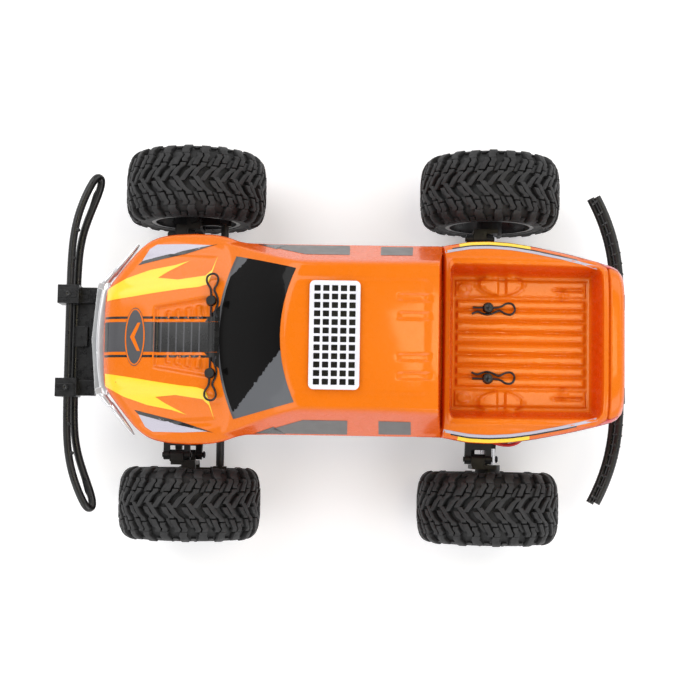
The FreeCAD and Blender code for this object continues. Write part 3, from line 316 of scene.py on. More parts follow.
MATERIALS = {
    "paint": paint("orange_paint", ORANGE, ORANGE_SHADED_SIDE),
    "yellow": print_ink("yellow_print", linear(250, 208, 6), 0.3, 0.4),
    "lilac": print_ink("lilac_print", linear(184, 180, 194), 0.3, 0.4),
    "grey": print_ink("grey_print", linear(70, 70, 74), 0.3, 0.35),
    "black_print": print_ink("black_print", linear(13, 13, 14), 0.24, 0.35),
    "red_lens": print_ink("red_lens_print", linear(196, 14, 12)),
    "window": tinted_glass("window_print", linear(9, 8, 8), linear(96, 98, 102)),
    "side_window": print_ink("side_window_print", linear(80, 77, 76), 0.35, 0.15),
    "silver": moulded("silver_plastic", linear(226, 226, 234), 0.3, 2200.0, FINE, linear(245, 245, 250),
                      0.05),
    "chrome": metal("chrome_trim", (0.74, 0.75, 0.77, 1.0), 0.2, (6.0, 6.0, 6.0), 0.03, 0.55),
    "black": moulded("black_nylon", BLACK, 0.42),
    "bumper": moulded("bumper_nylon", linear(15, 15, 16), 0.3, 2000.0, 0.00003, linear(38, 38, 40)),
    "chassis": moulded("chassis_nylon", linear(26, 26, 27), 0.5),
    "rim": moulded("graphite_rim_plastic", linear(44, 44, 46), 0.3, 2200.0, FINE, linear(84, 84, 88), 0.1),
    "tyre": rubber("tyre_rubber", linear(27, 27, 28)),
    "knob": moulded("gloss_black_nylon", linear(16, 16, 17), 0.26, 2200.0, FINE, linear(34, 34, 36)),
    "steel": metal("turned_steel", (0.58, 0.58, 0.6, 1.0), 0.28),
    "dark_steel": metal("blackened_steel", (0.045, 0.045, 0.05, 1.0), 0.34),
    "spring": metal("spring_steel", (0.66, 0.67, 0.7, 1.0), 0.2),
    "brass": metal("brass", (0.72, 0.53, 0.24, 1.0), 0.25),
    "gear": moulded("acetal", linear(226, 224, 214), 0.4, 1800.0, FINE, linear(245, 245, 240), 0.06),
    "battery": moulded("battery_wrap", linear(34, 70, 130), 0.25, 1400.0, FINE, linear(60, 100, 160), 0.15),
    "wire": moulded("red_wire_silicone", linear(190, 18, 14), 0.42, 3000.0, FINE, linear(220, 60, 50), 0.15),
    "wire_black": moulded("black_wire_silicone", BLACK, 0.42, 3000.0, FINE),
}


# ------------------------------------------------------------------ mesh tools
def new_object(name, mesh, material, body=ROOT):
    """Link a mesh or curve as a piece that rides on a body."""
    piece = bpy.data.objects.new(name, mesh)
    bpy.context.scene.collection.objects.link(piece)
    if material is not None:
        piece.data.materials.append(MATERIALS[material])
    if body is not None:
        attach(piece, body)
    return piece


def mesh_from(name, points, faces, smooth_angle=35.0, merge=0.0):
    """Mesh from millimetre points and face lists, shaded smooth up to an angle."""
    mesh = bpy.data.meshes.new(name)
    mesh.from_pydata([tuple(float(value) * MM for value in point) for point in points], [], faces)
    if merge:
        shape = bmesh.new()
        shape.from_mesh(mesh)
        bmesh.ops.remove_doubles(shape, verts=shape.verts, dist=merge * MM)
        bmesh.ops.recalc_face_normals(shape, faces=shape.faces)
        shape.to_mesh(mesh)
        shape.free()
    shade(mesh, smooth_angle)
    return mesh


def shade(mesh, smooth_angle=35.0):
    """Smooth shading with sharp edges above an angle."""
    mesh.polygons.foreach_set("use_smooth", [True] * len(mesh.polygons))
    mesh.set_sharp_from_angle(angle=math.radians(smooth_angle))
    mesh.update()


def bake_modifiers(piece):
    """Replace the piece's mesh with its modified mesh."""
    graph = bpy.context.evaluated_depsgraph_get()
    graph.update()
    mesh = bpy.data.meshes.new_from_object(piece.evaluated_get(graph))
    piece.modifiers.clear()
    piece.data = mesh
    return piece


def add_bevel(piece, width, segments=2, angle=35.0):
    """Rounded edges; width in millimetres."""
    bevel = piece.modifiers.new("bevel", "BEVEL")
    bevel.width = width * MM
    bevel.segments = segments
    bevel.limit_method = "ANGLE"
    bevel.angle_limit = math.radians(angle)
    bevel.harden_normals = False
    return piece


def grid_faces(rows, columns, closed=False):
    """Quads of a grid of points stored row by row; closed joins the last column to the first."""
    faces = []
    for row in range(rows - 1):
        for column in range(columns if closed else columns - 1):
            after = (column + 1) % columns
            faces.append((row * columns + column, row * columns + after,
                          (row + 1) * columns + after, (row + 1) * columns + column))
    return faces


def lathe(name, profile, centre, axis="Y", segments=72, angle=30.0):
    """Closed ring or disc turned from (radius, along) points about a Y or Z axis through centre."""
    points = []
    for step in range(segments):
        turn = 2 * math.pi * step / segments
        for radius, along in profile:
            across = (radius * math.cos(turn), radius * math.sin(turn))
            if axis == "Y":
                offset = (across[0], along, across[1])
            else:
                offset = (across[0], across[1], along)
            points.append([centre[i] + offset[i] for i in range(3)])
    count = len(profile)
    faces = []
    for step in range(segments):
        after = (step + 1) % segments
        for index in range(count):
            nxt = (index + 1) % count
            faces.append((step * count + index, step * count + nxt, after * count + nxt,
                          after * count + index))
    return mesh_from(name, points, faces, angle, merge=0.001)


def extruded(name, outline, low, high, plane="XY", angle=30.0):
    """Solid plate from an outline in the XY or XZ plane, between two places on the third axis."""
    def place(first, second, third):
        return (first, second, third) if plane == "XY" else (first, third, second)
    count = len(outline)
    points = [place(a, b, low) for a, b in outline] + [place(a, b, high) for a, b in outline]
    faces = [tuple(range(count)), tuple(range(2 * count - 1, count - 1, -1))]
    for index in range(count):
        nxt = (index + 1) % count
        faces.append((index, nxt, count + nxt, count + index))
    return mesh_from(name, points, faces, angle, merge=0.0001)


def box_mesh(name, low, high):
    """Block mesh between two corners; the caller bevels it, or cuts with it."""
    outline = [(low[0], low[1]), (high[0], low[1]), (high[0], high[1]), (low[0], high[1])]
    return extruded(name, outline, low[2], high[2])


def swept_bar(name, route):
    """Bar of rounded square section along a route of (x, y, z, half width, half height)."""
    around = 20
    power = 0.55
    points = []
    last = len(route) - 1
    for index, (x, y, z, wide, high) in enumerate(route):
        before = route[max(index - 1, 0)]
        after = route[min(index + 1, last)]
        run = Vector((after[0] - before[0], after[1] - before[1])).normalized()
        for number in range(around):
            angle = 2 * math.pi * number / around
            out = math.copysign(abs(math.cos(angle)) ** power, math.cos(angle)) * wide
            rise = math.copysign(abs(math.sin(angle)) ** power, math.sin(angle)) * high
            points.append((x - run.y * out, y + run.x * out, z + rise))
    faces = grid_faces(last + 1, around, True)
    faces.append(tuple(range(around))[::-1])
    faces.append(tuple(last * around + number for number in range(around)))
    return mesh_from(name, points, faces, 45.0, merge=0.001)


def merged(name, pieces, face_outwards=False):
    """One mesh from several."""
    shape = bmesh.new()
    for mesh in pieces:
        shape.from_mesh(mesh)
    if face_outwards:
        bmesh.ops.recalc_face_normals(shape, faces=shape.faces)
    whole = bpy.data.meshes.new(name)
    shape.to_mesh(whole)
    shape.free()
    return whole


def cut_with(piece, tool_mesh):
    """Take a closed mesh away from a piece."""
    tool = bpy.data.objects.new("tool", tool_mesh)
    bpy.context.scene.collection.objects.link(tool)
    cut = piece.modifiers.new("cut", "BOOLEAN")
    cut.operation = "DIFFERENCE"
    cut.solver = "EXACT"
    cut.object = tool
    bake_modifiers(piece)
    bpy.data.objects.remove(tool)


def joined(name, pieces, material, body=ROOT):
    """One piece from several meshes."""
    whole = merged(name, pieces)
    shade(whole, 32.0)
    return new_object(name, whole, material, body)


def wire(name, points, radius, material, closed=False, order=3):
    """Round wire along a smooth NURBS line through millimetre control points."""
    curve = bpy.data.curves.new(name, "CURVE")
    curve.dimensions = "3D"
    curve.bevel_depth = radius * MM
    curve.bevel_resolution = 6
    curve.use_fill_caps = True
    spline = curve.splines.new("NURBS")
    spline.points.add(len(points) - 1)
    for point, place in zip(spline.points, points):
        point.co = (place[0] * MM, place[1] * MM, place[2] * MM, 1.0)
    spline.order_u = order
    spline.use_endpoint_u = not closed
    spline.use_cyclic_u = closed
    spline.resolution_u = 10
    return new_object(name, curve, material)


# ------------------------------------------------------------------ body shell surface
NOSE_X = 134.7
TAIL_X = -158.3
SHELL_LOW = 62.0
CAB_REAR = -53.0
BED_FRONT = -63.6
BED_REAR = -141.2
BED_HALF = 37.4
BED_TOP_HALF = 43.8
BED_FLOOR = 96.3
WALL_ROWS = 14
TYRE_R = 42.5
ARCH_R = 50.6
POST_HOLE_R = 3.1

CROWN_LINE = [(-158.3, 115.4), (-56.0, 116.0), (-50.0, 117.0), (40.0, 115.4), (60.0, 113.6), (72.0, 111.6),
              (90.0, 108.2), (110.0, 104.2), (126.0, 100.6), (134.7, 98.3)]
BELT_LINE = [(-158.3, 38.5), (-156.5, 41.8), (-153.0, 43.8), (-142.0, 47.0), (-125.0, 51.0), (-108.0, 54.4),
             (-95.0, 56.3), (-83.0, 57.0), (-72.0, 56.6), (-63.0, 55.0), (-57.0, 53.9), (-50.0, 53.8),
             (40.0, 53.8), (52.0, 54.0), (58.0, 55.2), (64.0, 57.6), (72.0, 59.4), (84.0, 60.0),
             (96.0, 59.4), (104.0, 58.0), (110.0, 55.6), (116.0, 50.8), (124.0, 41.6), (131.0, 32.6),
             (134.7, 27.6)]
BELT_HEIGHT = [(-158.3, 104.5), (-100.0, 106.0), (-57.0, 106.0), (-50.0, 105.0), (24.0, 104.0), (62.0, 101.0),
               (84.0, 97.6), (104.0, 96.5), (118.0, 94.0), (134.7, 90.5)]


def along(line, x):
    """Value of a line of (x, value) points at x, rounded at its points."""
    places = np.array([point[0] for point in line])
    values = np.array([point[1] for point in line])
    reach = 2.4
    samples = [np.interp(np.clip(x + offset * reach, places[0], places[-1]), places, values)
               for offset in (-1.0, -0.5, 0.0, 0.5, 1.0)]
    return (samples[0] + 2 * samples[1] + 2 * samples[2] + 2 * samples[3] + samples[4]) / 8


def smooth_min(first, second, blend):
    """Lower of two surfaces with a rounded crease."""
    share = np.clip(0.5 + 0.5 * (second - first) / blend, 0, 1)
    return second * (1 - share) + first * share - blend * share * (1 - share)


def smooth_max(first, second, blend):
    """Higher of two surfaces with a rounded crease."""
    return -smooth_min(-first, -second, blend)


def step(value, low, high):
    """Smooth 0 to 1 between two values."""
    share = np.clip((value - low) / (high - low), 0, 1)
    return share * share * (3 - 2 * share)


def bump_box(x, y, x_range, y_range, soft):
    """1 inside a rectangle, falling smoothly to 0 over the soft margin outside it."""
    inside_x = step(x, x_range[0] - soft, x_range[0]) * (1 - step(x, x_range[1], x_range[1] + soft))
    inside_y = step(y, y_range[0] - soft, y_range[0]) * (1 - step(y, y_range[1], y_range[1] + soft))
    return inside_x * inside_y


def windscreen_base(y):
    """X of the windscreen's lower edge."""
    return 67.8 - 10.0 * (y / 45.3) ** 2


def windscreen_top(y):
    """X of the windscreen's upper edge."""
    return 32.7 - 8.1 * (y / 36.3) ** 2


def hood_relief(x, side):
    """Raised hood centre, louvred recess and fender creases."""
    raised = 1.6 * (1 - step(side, 24.0 + 0.10 * (NOSE_X - x), 30.0 + 0.10 * (NOSE_X - x)))
    relief = raised * step(x, 62.0, 72.0) * (1 - step(x, 126.0, 134.0))
    recess_half = 15.5 + 0.17 * (105.0 - x)
    recess = 1 - step(side, recess_half, recess_half + 2.2)
    recess = recess * step(x, 71.0, 73.5) * (1 - step(x, 103.0, 105.5))
    relief = relief - 2.0 * recess
    louvres = 1 - step(side, recess_half - 3.2, recess_half - 1.4)
    louvres = louvres * step(x, 74.5, 76.0) * (1 - step(x, 97.0, 99.0))
    wave = 0.5 + 0.5 * np.cos(2 * math.pi * (x - 78.5 - 0.004 * side ** 2) / 6.0)
    relief = relief + 2.1 * louvres * wave ** 1.3 * step(side, 9.0, 12.5)
    shoulder = np.exp(-((side - 47.5 - 0.05 * (x - 80.0)) / 2.2) ** 2)
    relief = relief - 0.9 * shoulder * step(x, 64.0, 74.0) * (1 - step(x, 108.0, 118.0))
    return relief


def bed_relief(x, y, deck):
    """Load bed: sloping walls, ribbed floor, side pads, arch humps and rail ridges."""
    side = np.abs(y)
    depth_x = np.minimum(step(x, BED_REAR - 5.0, BED_REAR), 1 - step(x, BED_FRONT, BED_FRONT + 3.2))
    depth_y = 1 - step(side, BED_HALF, BED_TOP_HALF)
    depth = 1 - np.minimum(np.hypot(1 - depth_x, 1 - depth_y), 1.0)
    pitch = 6.3
    phase = np.abs((side / pitch) % 1.0 - 0.5) * 2
    rib = 1 - step(phase, 0.42, 1.0)
    rib_zone = bump_box(x, side, (-137.5, -66.5), (-1.0, 24.5), 1.6)
    pads = bump_box(x, side, (-138.5, -65.5), (27.2, 35.2), 1.0)
    slot_long = bump_box(x, side, (-137.0, -122.0), (30.6, 31.6), 0.9)
    slot_short = bump_box(x, side, (-127.5, -125.0), (25.0, 31.0), 0.9)
    boss = 1 - step(np.hypot(x + 69.5, side - 31.0), 2.6, 3.8)
    hump_shape = np.hypot((x + 90.5) / 13.0, (side - 33.6) / 6.6)
    hump = 1 - step(hump_shape, 0.86, 1.04)
    floor = BED_FLOOR + 1.8 * rib_zone * rib + 1.0 * pads - 1.5 * slot_long - 1.2 * slot_short + 0.9 * boss
    floor = floor + 2.2 * hump - 1.6 * bump_box(x, side, (-93.0, -89.0), (20.0, 41.0), 0.8) * hump
    ridge = np.exp(-((side - 46.2) / 0.9) ** 2) * step(x, -147.0, -143.0) * (1 - step(x, -62.0, -59.0))
    cross = np.exp(-((x + 60.4) / 0.9) ** 2) * (1 - step(side, 44.0, 46.0))
    tail = np.exp(-((x + 146.4) / 0.9) ** 2) * (1 - step(side, 42.0, 44.0))
    rail = deck + 0.8 * ridge + 0.7 * cross + 0.7 * tail
    gate = np.exp(-((x + 149.6) / 0.55) ** 2) * (1 - step(side, 43.0, 44.5))
    rail = rail - 1.6 * gate
    return rail + (floor - rail) * depth


def shell_height(x, y):
    """Height of the body's upper surface at x, y."""
    side = np.abs(y)
    half = along(BELT_LINE, x)
    belt = along(BELT_HEIGHT, x)
    crown = along(CROWN_LINE, x)
    spread = np.clip(side / half, 0, 1)
    fullness = 1 - step(x, 60.0, 110.0) * 0.28
    shoulder = (1 - spread ** (3.4 + 3.0 * (1 - step(x, -70.0, -40.0)))) ** (0.62 * fullness + 0.1)
    lower = belt + (crown - belt) * shoulder
    lower = lower - 3.2 * np.clip(1 - (NOSE_X - x) / 4.5, 0, 1) ** 2
    lower = lower - 3.0 * np.clip(1 - (x - TAIL_X) / 3.5, 0, 1) ** 2
    lower = lower + hood_relief(x, side)
    bowed = step(x, -62.0, -58.0)
    lower = bed_relief(x, y, lower) * (1 - bowed) + lower * bowed
    groove = np.exp(-((x + 56.2) / 1.1) ** 2)
    lower = lower - 5.0 * groove
    base = windscreen_base(side)
    top = windscreen_top(side)
    climb = (base - x) / (base - top)
    glass = 112.3 + 25.0 * climb + 1.5 * np.sin(math.pi * np.clip(climb, 0, 1))
    raised = 1 - step(side, 29.0, 33.0)
    roof = 138.2 - 0.9 * (side / 39.0) ** 2 - 0.0006 * (x - 5.0) ** 2 + 0.5 * raised * step(x, -50.0, -44.0)
    ribs = bump_box(x, side, (-48.0, -32.0), (10.0, 12.5), 1.2)
    ribs = ribs + bump_box(x, side, (-48.0, -32.0), (20.0, 22.5), 1.2)
    roof = roof - 0.6 * ribs
    wall = 104.4 + (53.8 - side) * 2.32 + 0.6
    rear = 139.0 + (x - CAB_REAR) * 9.0
    cab = smooth_min(smooth_min(roof, wall, 4.5), glass, 2.2)
    cab = smooth_min(cab, rear, 3.0)
    return smooth_max(lower, cab, 1.6)


def shell_samples(start, end, size, fine=()):
    """Sample places between two ends, closer inside the fine spans."""
    places = [start]
    while places[-1] < end:
        here = places[-1]
        stride = size
        for low, high, small in fine:
            if low - size < here < high:
                stride = min(stride, small)
        places.append(min(here + stride, end))
    return np.array(places)


def wall_tuck(drop):
    """How far a side wall leans in, with its pressed crease, at a share of its depth."""
    return 3.6 * drop ** 1.6 + 0.7 * math.exp(-((drop - 0.42) / 0.07) ** 2)


def build_shell():
    """Body shell: top surface, nose, tail and side walls, thickened and cut at the arches."""
    xs = shell_samples(TAIL_X, NOSE_X, 1.5, [
        (-151.0, -144.5, 0.5), (-142.0, -136.5, 0.8), (-66.0, -52.0, 0.45), (20.0, 70.0, 1.0),
        (70.0, 107.0, 0.7),
        (131.0, 135.0, 0.6), (-158.3, -155.0, 0.6)])
    half_count = 98
    shares = np.linspace(-1, 1, 2 * half_count + 1)
    shares = np.sign(shares) * np.abs(shares) ** 0.94
    half = along(BELT_LINE, xs)
    grid_x = np.repeat(xs[:, None], len(shares), axis=1)
    grid_y = half[:, None] * shares[None, :]
    grid_z = shell_height(grid_x, grid_y)
    rows, columns = grid_x.shape
    points = np.stack([grid_x, grid_y, grid_z], axis=-1).reshape(-1, 3).tolist()
    faces = grid_faces(rows, columns)
    for edge, sign in ((0, -1.0), (columns - 1, 1.0)):
        start = len(points)
        for row in range(rows):
            top_z = grid_z[row, edge]
            for level in range(WALL_ROWS + 1):
                drop = level / WALL_ROWS
                z = top_z + (SHELL_LOW - top_z) * drop
                points.append([xs[row], grid_y[row, edge] - sign * wall_tuck(drop), z])
        wall = grid_faces(rows, WALL_ROWS + 1)
        faces += [tuple(start + index for index in (face if sign > 0 else face[::-1])) for face in wall]
    for row, sign in ((0, -1.0), (rows - 1, 1.0)):
        start = len(points)
        for level in range(WALL_ROWS + 1):
            drop = level / WALL_ROWS
            for column in range(columns):
                top_z = grid_z[row, column]
                y = grid_y[row, column]
                tuck = wall_tuck(drop) * y / grid_y[row, -1]
                points.append([xs[row], y - tuck, top_z + (SHELL_LOW - top_z) * drop])
        wall = grid_faces(WALL_ROWS + 1, columns)
        faces += [tuple(start + index for index in face) for face in wall]
    mesh = mesh_from("body_shell_skin", points, faces, 40.0, merge=0.02)
    piece = new_object("shell_painted", mesh, "paint")
    skin = piece.modifiers.new("skin", "SOLIDIFY")
    skin.thickness = 1.1 * MM
    skin.offset = -1.0
    bake_modifiers(piece)
    for end in ENDS:
        low, high = node_box("tyre_" + end + "l")
        x = (low[0] + high[0]) / 2
        for sign in SIDES.values():
            low_y, high_y = sorted((sign * 34.0, sign * 72.0))
            profile = [(0.001, low_y), (ARCH_R, low_y), (ARCH_R, high_y), (0.001, high_y)]
            cut_with(piece, lathe("arch_tool", profile, (x, 0, TYRE_R), "Y", 96))
    for x, y in post_places():
        hole = [(0.001, 80.0), (POST_HOLE_R, 80.0), (POST_HOLE_R, 125.0), (0.001, 125.0)]
        cut_with(piece, lathe("post_tool", hole, (x, y, 0), "Z", 32))
    shade(piece.data, 40.0)
    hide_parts("body_shell")
    return piece


def post_places():
    """X and Y of the four body posts, read from the CAD posts."""
    low, high = node_box("body_posts")
    shoulder = 3.6
    return [(x, y) for x in (low[0] + shoulder, high[0] - shoulder)
            for y in (low[1] + shoulder, high[1] - shoulder)]


def build_tailgate():
    """Raised panel and pull handle on the tail face."""
    panel = box_mesh("panel", (TAIL_X - 0.5, -30.0, 74.0), (TAIL_X + 0.3, 30.0, 104.0))
    add_bevel(new_object("tailgate_panel", panel, "paint"), 0.35, 3)
    pull = box_mesh("pull", (TAIL_X - 1.1, -7.5, 96.6), (TAIL_X - 0.3, 7.5, 100.2))
    add_bevel(new_object("tailgate_pull", pull, "knob"), 0.35, 3)


class Surface:
    """The finished shell, for laying printed graphics on it."""

    def __init__(self, piece):
        shape = bmesh.new()
        shape.from_mesh(piece.data)
        self.tree = BVHTree.FromBMesh(shape)
        shape.free()

    def hit(self, origin, direction):
        """Point and normal where a ray (metres) meets the shell."""
        return self.tree.ray_cast(Vector(origin), Vector(direction))[:2]


def decal(surface, name, outline, material, direction="down", lift=0.12, size=2.0, side=1.0):
    """Printed graphic: an outline cut into small cells and laid on the shell along a direction."""
    flat = bmesh.new()
    corners = [flat.verts.new((a, b, 0.0)) for a, b in outline]
    flat.faces.new(corners)
    for axis in (0, 1):
        values = [point[axis] for point in outline]
        count = int((max(values) - min(values)) / size)
        for index in range(1, count + 1):
            place = [0.0, 0.0, 0.0]
            place[axis] = min(values) + index * size
            normal = [0.0, 0.0, 0.0]
            normal[axis] = 1.0
            bmesh.ops.bisect_plane(flat, geom=flat.verts[:] + flat.edges[:] + flat.faces[:], plane_co=place,
                                   plane_no=normal, dist=0.0001)
    bmesh.ops.triangulate(flat, faces=[face for face in flat.faces if len(face.verts) > 4])
    lost = []
    for vert in flat.verts:
        a, b = vert.co.x, vert.co.y
        if direction == "down":
            place, normal = surface.hit((a * MM, b * MM, 0.3), (0, 0, -1))
        else:
            place, normal = surface.hit((a * MM, side * 0.3, b * MM), (0, -side, 0))
        if place is None:
            lost.append(vert)
        else:
            vert.co = place + normal * lift * MM
    bmesh.ops.delete(flat, geom=lost, context="VERTS")
    bmesh.ops.recalc_face_normals(flat, faces=flat.faces)
    for face in flat.faces:
        want = Vector((0, 0, 1)) if direction == "down" else Vector((0, side, 0))
        if face.normal.dot(want) < 0:
            face.normal_flip()
    mesh = bpy.data.meshes.new(name)
    flat.to_mesh(mesh)
    flat.free()
    shade(mesh, 60.0)
    return new_object(name, mesh, material)


def mirrored_decals(surface, name, outline, material, **settings):
    """The same graphic on both sides of the centre line."""
    decal(surface, name + "_left", outline, material, **settings)
    decal(surface, name + "_right", [(a, -b) for a, b in reversed(outline)], material, **settings)


def arc_points(centre, radii, start, end, count):
    """Points along an ellipse arc in degrees."""
    turns = [math.radians(start + (end - start) * index / (count - 1)) for index in range(count)]
    return [(centre[0] + radii[0] * math.cos(turn), centre[1] + radii[1] * math.sin(turn)) for turn in turns]


def strip(points, width):
    """Closed outline of a band of constant width along a line of points."""
    left = []
    right = []
    for index, (x, y) in enumerate(points):
        before = points[max(index - 1, 0)]
        after = points[min(index + 1, len(points) - 1)]
        run = Vector((after[0] - before[0], after[1] - before[1])).normalized()
        left.append((x - run.y * width / 2, y + run.x * width / 2))
        right.append((x + run.y * width / 2, y - run.x * width / 2))
    return left + right[::-1]


def rectangle(low_x, high_x, half):
    """Outline of a rectangle across the centre line."""
    return [(low_x, -half), (high_x, -half), (high_x, half), (low_x, half)]


def build_graphics(surface):
    """Windows, hood bands with painted louvre highlights, flames, lamps and side stripes."""
    base = [(windscreen_base(y), y) for y in np.linspace(-45.3, 45.3, 25)]
    top = [(windscreen_top(y), y) for y in np.linspace(36.3, -36.3, 21)]
    decal(surface, "windscreen", base + top, "window", lift=0.14)
    decal(surface, "windscreen_border", strip([(x + 0.5, y) for x, y in base], 1.3), "grey", lift=0.2)
    mirrored_decals(surface, "front_side_window", [
        (30.0, 53.0), (-4.4, 53.0), (-4.4, 45.6), (20.0, 45.6), (37.0, 50.4)], "side_window")
    mirrored_decals(surface, "front_window_tip", [(47.4, 53.2), (30.0, 53.2), (36.4, 49.4)], "black_print")
    mirrored_decals(surface, "rear_side_window", [(-22.0, 52.6), (-40.0, 52.6), (-39.0, 45.8), (-21.4, 45.6)],
                    "side_window")
    nose = 134.0
    windscreen_line = 66.6
    band_half = 8.4
    decal(surface, "hood_band", [(nose, -band_half), (nose, band_half), (windscreen_line, band_half),
                                 (windscreen_line, -band_half)], "grey", size=0.9)
    for index, (low, high) in enumerate(((131.6, 134.0), (67.6, 104.5))):
        block = rectangle(low, high, band_half)
        decal(surface, "band_block_" + str(index), block, "black_print", lift=0.24, size=0.8)
    # thin grey bars over the black louvre block are painted highlights along the louvre ridges
    for index in range(6):
        x = 78.6 + 4.4 * index
        bar = rectangle(x, x + 0.8, band_half)
        decal(surface, "louvre_highlight_" + str(index), bar, "grey", lift=0.3, size=1.3)
    mirrored_decals(surface, "cowl_patch", [(67.4, 8.6), (67.4, 17.5), (70.2, 15.2), (76.0, 8.6)],
                    "black_print", lift=0.22, size=0.9)
    mirrored_decals(surface, "hood_line",
                    [(nose, 10.2), (nose, 11.5), (windscreen_line, 11.5), (windscreen_line, 10.2)],
                    "black_print", size=1.4)
    badge = arc_points((115.8, 0.0), (5.9, 16.5), 0, 345, 24)
    decal(surface, "badge_field", badge, "grey", lift=0.26, size=1.6)
    ring = arc_points((115.8, 0.0), (5.4, 15.6), 0, 360, 33)
    decal(surface, "badge_ring", strip(ring, 0.7), "paint", lift=0.32, size=1.6)
    decal(surface, "badge_chevron",
          [(118.6, 0.0), (114.4, 8.0), (112.6, 8.0), (116.0, 0.0), (112.6, -8.0), (114.4, -8.0)],
          "paint", lift=0.32, size=1.6)
    mirrored_decals(surface, "flame", [
        (133.6, 27.6), (133.4, 20.6), (118.0, 22.8), (104.0, 25.0), (90.0, 27.0), (80.0, 28.0), (74.6, 29.6),
        (69.6, 46.4),
        (72.8, 38.0), (76.4, 34.6), (92.0, 32.4), (103.5, 33.6), (98.0, 37.0), (85.4, 43.4), (94.0, 40.8),
        (108.0, 38.2), (122.0, 33.6)], "yellow", lift=0.16)
    mirrored_decals(surface, "headlight",
                    [(113.6, 42.8), (109.4, 50.4), (105.0, 53.0), (88.0, 53.2), (72.6, 52.4), (90.0, 48.4)],
                    "lilac", lift=0.16)
    mirrored_decals(surface, "headlight_edge",
                    [(115.6, 41.0), (113.2, 43.4), (90.0, 49.2), (70.0, 53.2), (89.0, 47.2)],
                    "black_print", lift=0.2)
    bed_edge = np.linspace(0, 1, 31)
    for name, start, end, inset, width, material in (
            ("yellow", -66.0, -106.0, 1.5, 1.9, "yellow"),
            ("black", -62.0, -132.0, 2.9, 0.8, "black_print"),
            ("lilac", -58.0, -143.6, 4.1, 1.6, "lilac")):
        line = [(start + (end - start) * t, float(along(BELT_LINE, start + (end - start) * t)) - inset)
                for t in bed_edge]
        mirrored_decals(surface, "shoulder_stripe_" + name, strip(line, width), material, lift=0.16, size=2.4)
    wave = np.linspace(0, 1, 25)
    for side_name, sign in SIDES.items():
        for name, start, reach, z, rise, width, material in (
                ("side_stripe_lilac", -52, -100, 101.6, 3.0, 3.4, "lilac"),
                ("side_stripe_black", -58, -84, 98.0, 2.2, 1.8, "black_print"),
                ("side_stripe_yellow", -64, -70, 94.9, 2.0, 4.2, "yellow"),
                ("door_stripe", 46.0, -92.0, 88.0, -5.0, 3.0, "lilac"),
                ("door_line", 44.0, -88.0, 84.6, -5.0, 1.4, "black_print")):
            line = [(start + reach * t, z + rise * math.sin(math.pi * t)) for t in wave]
            lift = 0.18 if name == "door_line" else 0.16
            decal(surface, name + "_" + side_name, strip(line, width), material, "side", lift, 2.4, sign)
        front_door = [(38.0, 97.0), (37.0, 79.0), (31.0, 73.0), (-6.4, 73.0), (-7.6, 102.6)]
        rear_door = [(-6.4, 73.0), (-33.0, 73.0), (-43.0, 84.0), (-44.0, 102.6)]
        for name, line in (("front", front_door), ("rear", rear_door)):
            gap = strip(line, 0.55)
            decal(surface, "door_gap_" + name + "_" + side_name, gap, "black_print", "side", 0.14, 2.0, sign)
        for name, x in (("front", -1.0), ("rear", -36.0)):
            handle = strip([(x + 4.0, 96.4), (x - 4.0, 96.0)], 1.7)
            decal(surface, "door_handle_" + name + "_" + side_name, handle, "black_print", "side", 0.2, 2.0,
                  sign)
        lamp = [(-155.4, 92.0), (-155.4, 108.5), (-149.0, 109.0), (-143.4, 106.5), (-144.5, 99.0),
                (-148.0, 92.0)]
        decal(surface, "tail_lamp_" + side_name, lamp, "red_lens", "side", 0.2, 2.4, sign)


# ------------------------------------------------------------------ wheels
LUGS = 22
CARCASS = {"half": 20.3, "base": 27.0, "rise": 12.0}
TREAD = {"half": 21.7, "base": 28.5, "rise": 14.0}
PROFILE_POWER = 0.56


def profile_point(turn, height):
    """Offset from the wheel's middle plane and radius at a turn in degrees; height 0 carcass, 1 tread."""
    values = []
    for key in ("half", "base", "rise"):
        values.append(CARCASS[key] + (TREAD[key] - CARCASS[key]) * height)
    half, base, rise = values
    angle = math.radians(abs(turn))
    offset = math.copysign(half * math.sin(angle) ** PROFILE_POWER, turn)
    return offset, base + rise * math.cos(angle) ** PROFILE_POWER


def lug_strip(points, faces, index, side, lane, turns, half_width, height, phase=0.0):
    """One raised bar of the tread, from the middle outwards and down the side."""
    pitch = 2 * math.pi * TYRE_R / LUGS
    start = len(points)
    for number, turn in enumerate(turns):
        offset, radius = profile_point(turn, height)
        low_offset, low_radius = profile_point(turn, -0.25)
        sweep = -0.92 * min(offset, 11.0) - 0.22 * max(offset - 11.0, 0.0)
        zigzag = 0.55 * (1 if number % 2 else -1) if turn < 45 else 0.0
        taper = half_width * (1.0 + 0.28 * step(turn, 38.0, 60.0))
        for across, (y, r) in ((-taper, (low_offset, low_radius)), (-taper, (offset, radius)),
                               (taper, (offset, radius)), (taper, (low_offset, low_radius))):
            length = sweep + lane + zigzag + across + phase * pitch
            angle = 2 * math.pi * index / LUGS + length / TYRE_R
            points.append((r * math.sin(angle), side * y, r * math.cos(angle)))
    count = len(turns)
    for row in range(count - 1):
        for column in range(3):
            a = start + row * 4 + column
            faces.append((a, a + 1, a + 5, a + 4))
        a = start + row * 4
        faces.append((a + 3, a, a + 4, a + 7))
    faces.append((start, start + 3, start + 2, start + 1))
    last = start + (count - 1) * 4
    faces.append((last, last + 1, last + 2, last + 3))


